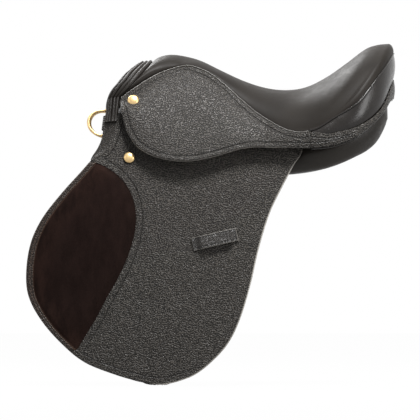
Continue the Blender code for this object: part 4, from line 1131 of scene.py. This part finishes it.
def make_dee():
    top = Vector((-0.1815, -0.069, 0.0975))
    low = Vector((-0.186, -0.082, 0.0625))
    bar = low - top
    forward, outward = (
        (way - way.project(bar)).normalized() for way in (Vector((-1, -0.1, 0)), Vector((0, -1, 0)))
    )
    middle = (top + low) / 2
    ring = [top.lerp(low, n / 12) for n in range(13)]
    for n in range(49):
        turn = math.pi * n / 48
        reach = DEE_REACH * math.sin(turn) ** 0.8 + 0.001
        ring.append(middle + bar * 0.56 * math.cos(turn) + forward * reach)
    mesh = tube("dee_ring_left", ring, DEE_WIRE, 16, closed=True)
    add("dee_ring_left", mesh, brass, "dee_left_body", ["dee_left"])
    top, low, forward, outward = (np.array(value) for value in (top, low, forward, outward))

    def at(u, v):
        s = 2 * u - 1
        turn = np.clip(s * np.pi, -HALF, HALF)
        reach = np.clip((np.abs(s) - 0.5) * 2, 0, 1)
        base = top + (low - top) * mix(0.2, 0.8, v)[..., None]
        way = forward * np.cos(turn)[..., None] + outward * np.sin(turn)[..., None]
        return base + way * CHAPE_RADIUS - forward * (0.007 * reach)[..., None]

    mesh = grid("dee_loop_left", 48, 14, at)
    nodes = ["dee_chape_left"]
    add("dee_loop_left", mesh, keeper_leather, "saddle", nodes, skin(COVER_LEATHER))


def dress_hidden():
    """Materials for the parts that the part's own model already shapes well."""
    finishes = {
        "seat_web": jute, "girth_web_front": jute, "girth_web_rear": jute, "tree_cantle": beech,
        "tree_head": beech, "gullet_plate": spring_steel, "channel_lining": lining_leather,
    }
    for side in ("left", "right"):
        finishes[f"tree_rail_{side}"] = beech
        finishes[f"spring_{side}"] = spring_steel
        finishes[f"stirrup_bar_{side}"] = bar_steel
        finishes[f"bar_catch_{side}"] = bar_steel
        finishes[f"buckle_guard_{side}"] = lining_leather
        for n in (1, 2, 3):
            finishes[f"girth_strap_{n}_{side}"] = strap_leather
    for name, material in finishes.items():
        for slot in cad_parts[name].material_slots:
            slot.material = material


# Stitching


def make_stitching(skirt, skirt_blend, flap, edging):
    w = np.linspace(0.02, 0.98, 300)
    top = inset(skirt_top(w)[:, [0, 2]], -SKIRT_LINE)
    hem = inset(skirt_bottom(w)[:, [0, 2]], SKIRT_LINE)
    stitches("skirt_top_stitches_left", top[8:-6], skirt, skirt_blend)
    stitches("skirt_hem_stitches_left", hem[6:-6], skirt, skirt_blend)
    z = np.linspace(-0.262, 0.012, 260)
    knee = np.stack([knee_edge(z), z], 1)
    stitches("knee_stitches_left", inset(knee, -KNEE_LINES[0]), flap, FLAP_BLEND)
    stitches("knee_stitches_upper_left", inset(knee[z > -0.112], -KNEE_LINES[1]), flap, FLAP_BLEND)
    z = np.linspace(-0.264, 0.014, 260)
    front = np.stack([flap_front(z) + EDGING_LINE, z], 1)
    stitches("edging_stitches_left", front, edging, FLAP_BLEND, pitch=0.0038, length=0.0027)


make_seat()
make_bands()
make_facing_legs()
make_cantle()
skirt, skirt_blend = make_skirt()
main_flap, knee_edging = make_flap()
make_keeper()
make_sweat_flap()
make_panel()
make_nails()
make_dee()
dress_hidden()
make_stitching(skirt, skirt_blend, main_flap, knee_edging)


# Floor, light and camera


def make_stage():
    bm = bmesh.new()
    bmesh.ops.create_grid(bm, x_segments=1, y_segments=1, size=6)
    floor = new_object("floor", as_mesh(bm, "floor"))
    floor.location.z = FLOOR_Z
    material, tree = new_material("floor")
    grey = {"Base Color": (0.5, 0.5, 0.5, 1), "Roughness": 0.8}
    shader = join(tree, tree.nodes["Principled BSDF"], grey)
    glow = add_node(tree, "Emission", {"Color": (1, 1, 1, 1), "Strength": 1.0})
    path = add_node(tree, "LightPath").outputs
    seen = maths(tree, "MAXIMUM", path["Is Camera Ray"], path["Is Glossy Ray"])
    sockets = {0: times(tree, seen, FLOOR_GLOW), 1: shader.outputs[0], 2: glow.outputs[0]}
    both = add_node(tree, "MixShader", sockets)
    join(tree, tree.nodes["Material Output"], {"Surface": both.outputs[0]})
    floor.data.materials.append(material)
    world = bpy.data.worlds.new("studio")
    bpy.context.scene.world = world
    world.use_nodes = True
    tree = world.node_tree
    path = add_node(tree, "LightPath").outputs
    seen = maths(tree, "MAXIMUM", path["Is Camera Ray"], path["Is Glossy Ray"])
    seen = maths(tree, "MAXIMUM", seen, path["Is Transmission Ray"])
    strength = add_node(tree, "MapRange", {0: seen, 3: WORLD_LEVEL, 4: 1.0}).outputs[0]
    join(tree, tree.nodes["Background"], {"Strength": strength, "Color": (1, 1, 1, 1)})


def lamp(name, place, target, size, power, size_y=None):
    light = bpy.data.lights.new(name, "AREA")
    light.shape = "RECTANGLE"
    light.size = size
    light.size_y = size_y or size
    light.energy = power
    obj = new_object(name, light)
    obj.location = place
    way = Vector(target) - Vector(place)
    obj.rotation_euler = way.to_track_quat("-Z", "Y").to_euler()


WORLD_LEVEL = 0.05  # light of the studio's walls; seen directly they are white
FLOOR_GLOW = 0.985
make_stage()
lamp("key", (0.36, -0.85, 2.15), (0, 0, 0), 0.7, 108)
lamp("side", (1.6, -0.98, 0.42), (0.2, 0, 0.1), 0.7, 17, 1.0)
lamp("top", (-0.9, 1.36, 1.42), (0.2, 0, 0.1), 1.2, 44, 0.9)
lamp("left", (-1.8, -0.8, 0.7), (0, 0, 0), 0.5, 3)

camera_data = bpy.data.cameras.new("camera")
camera_data.lens = 800
camera_data.sensor_width = 36
camera = new_object("camera", camera_data)
camera.location = (-0.0232, -14.55, -0.054)
camera.rotation_euler = (HALF, 0, 0)
bpy.context.scene.camera = camera
bpy.context.scene.view_settings.view_transform = "Standard"
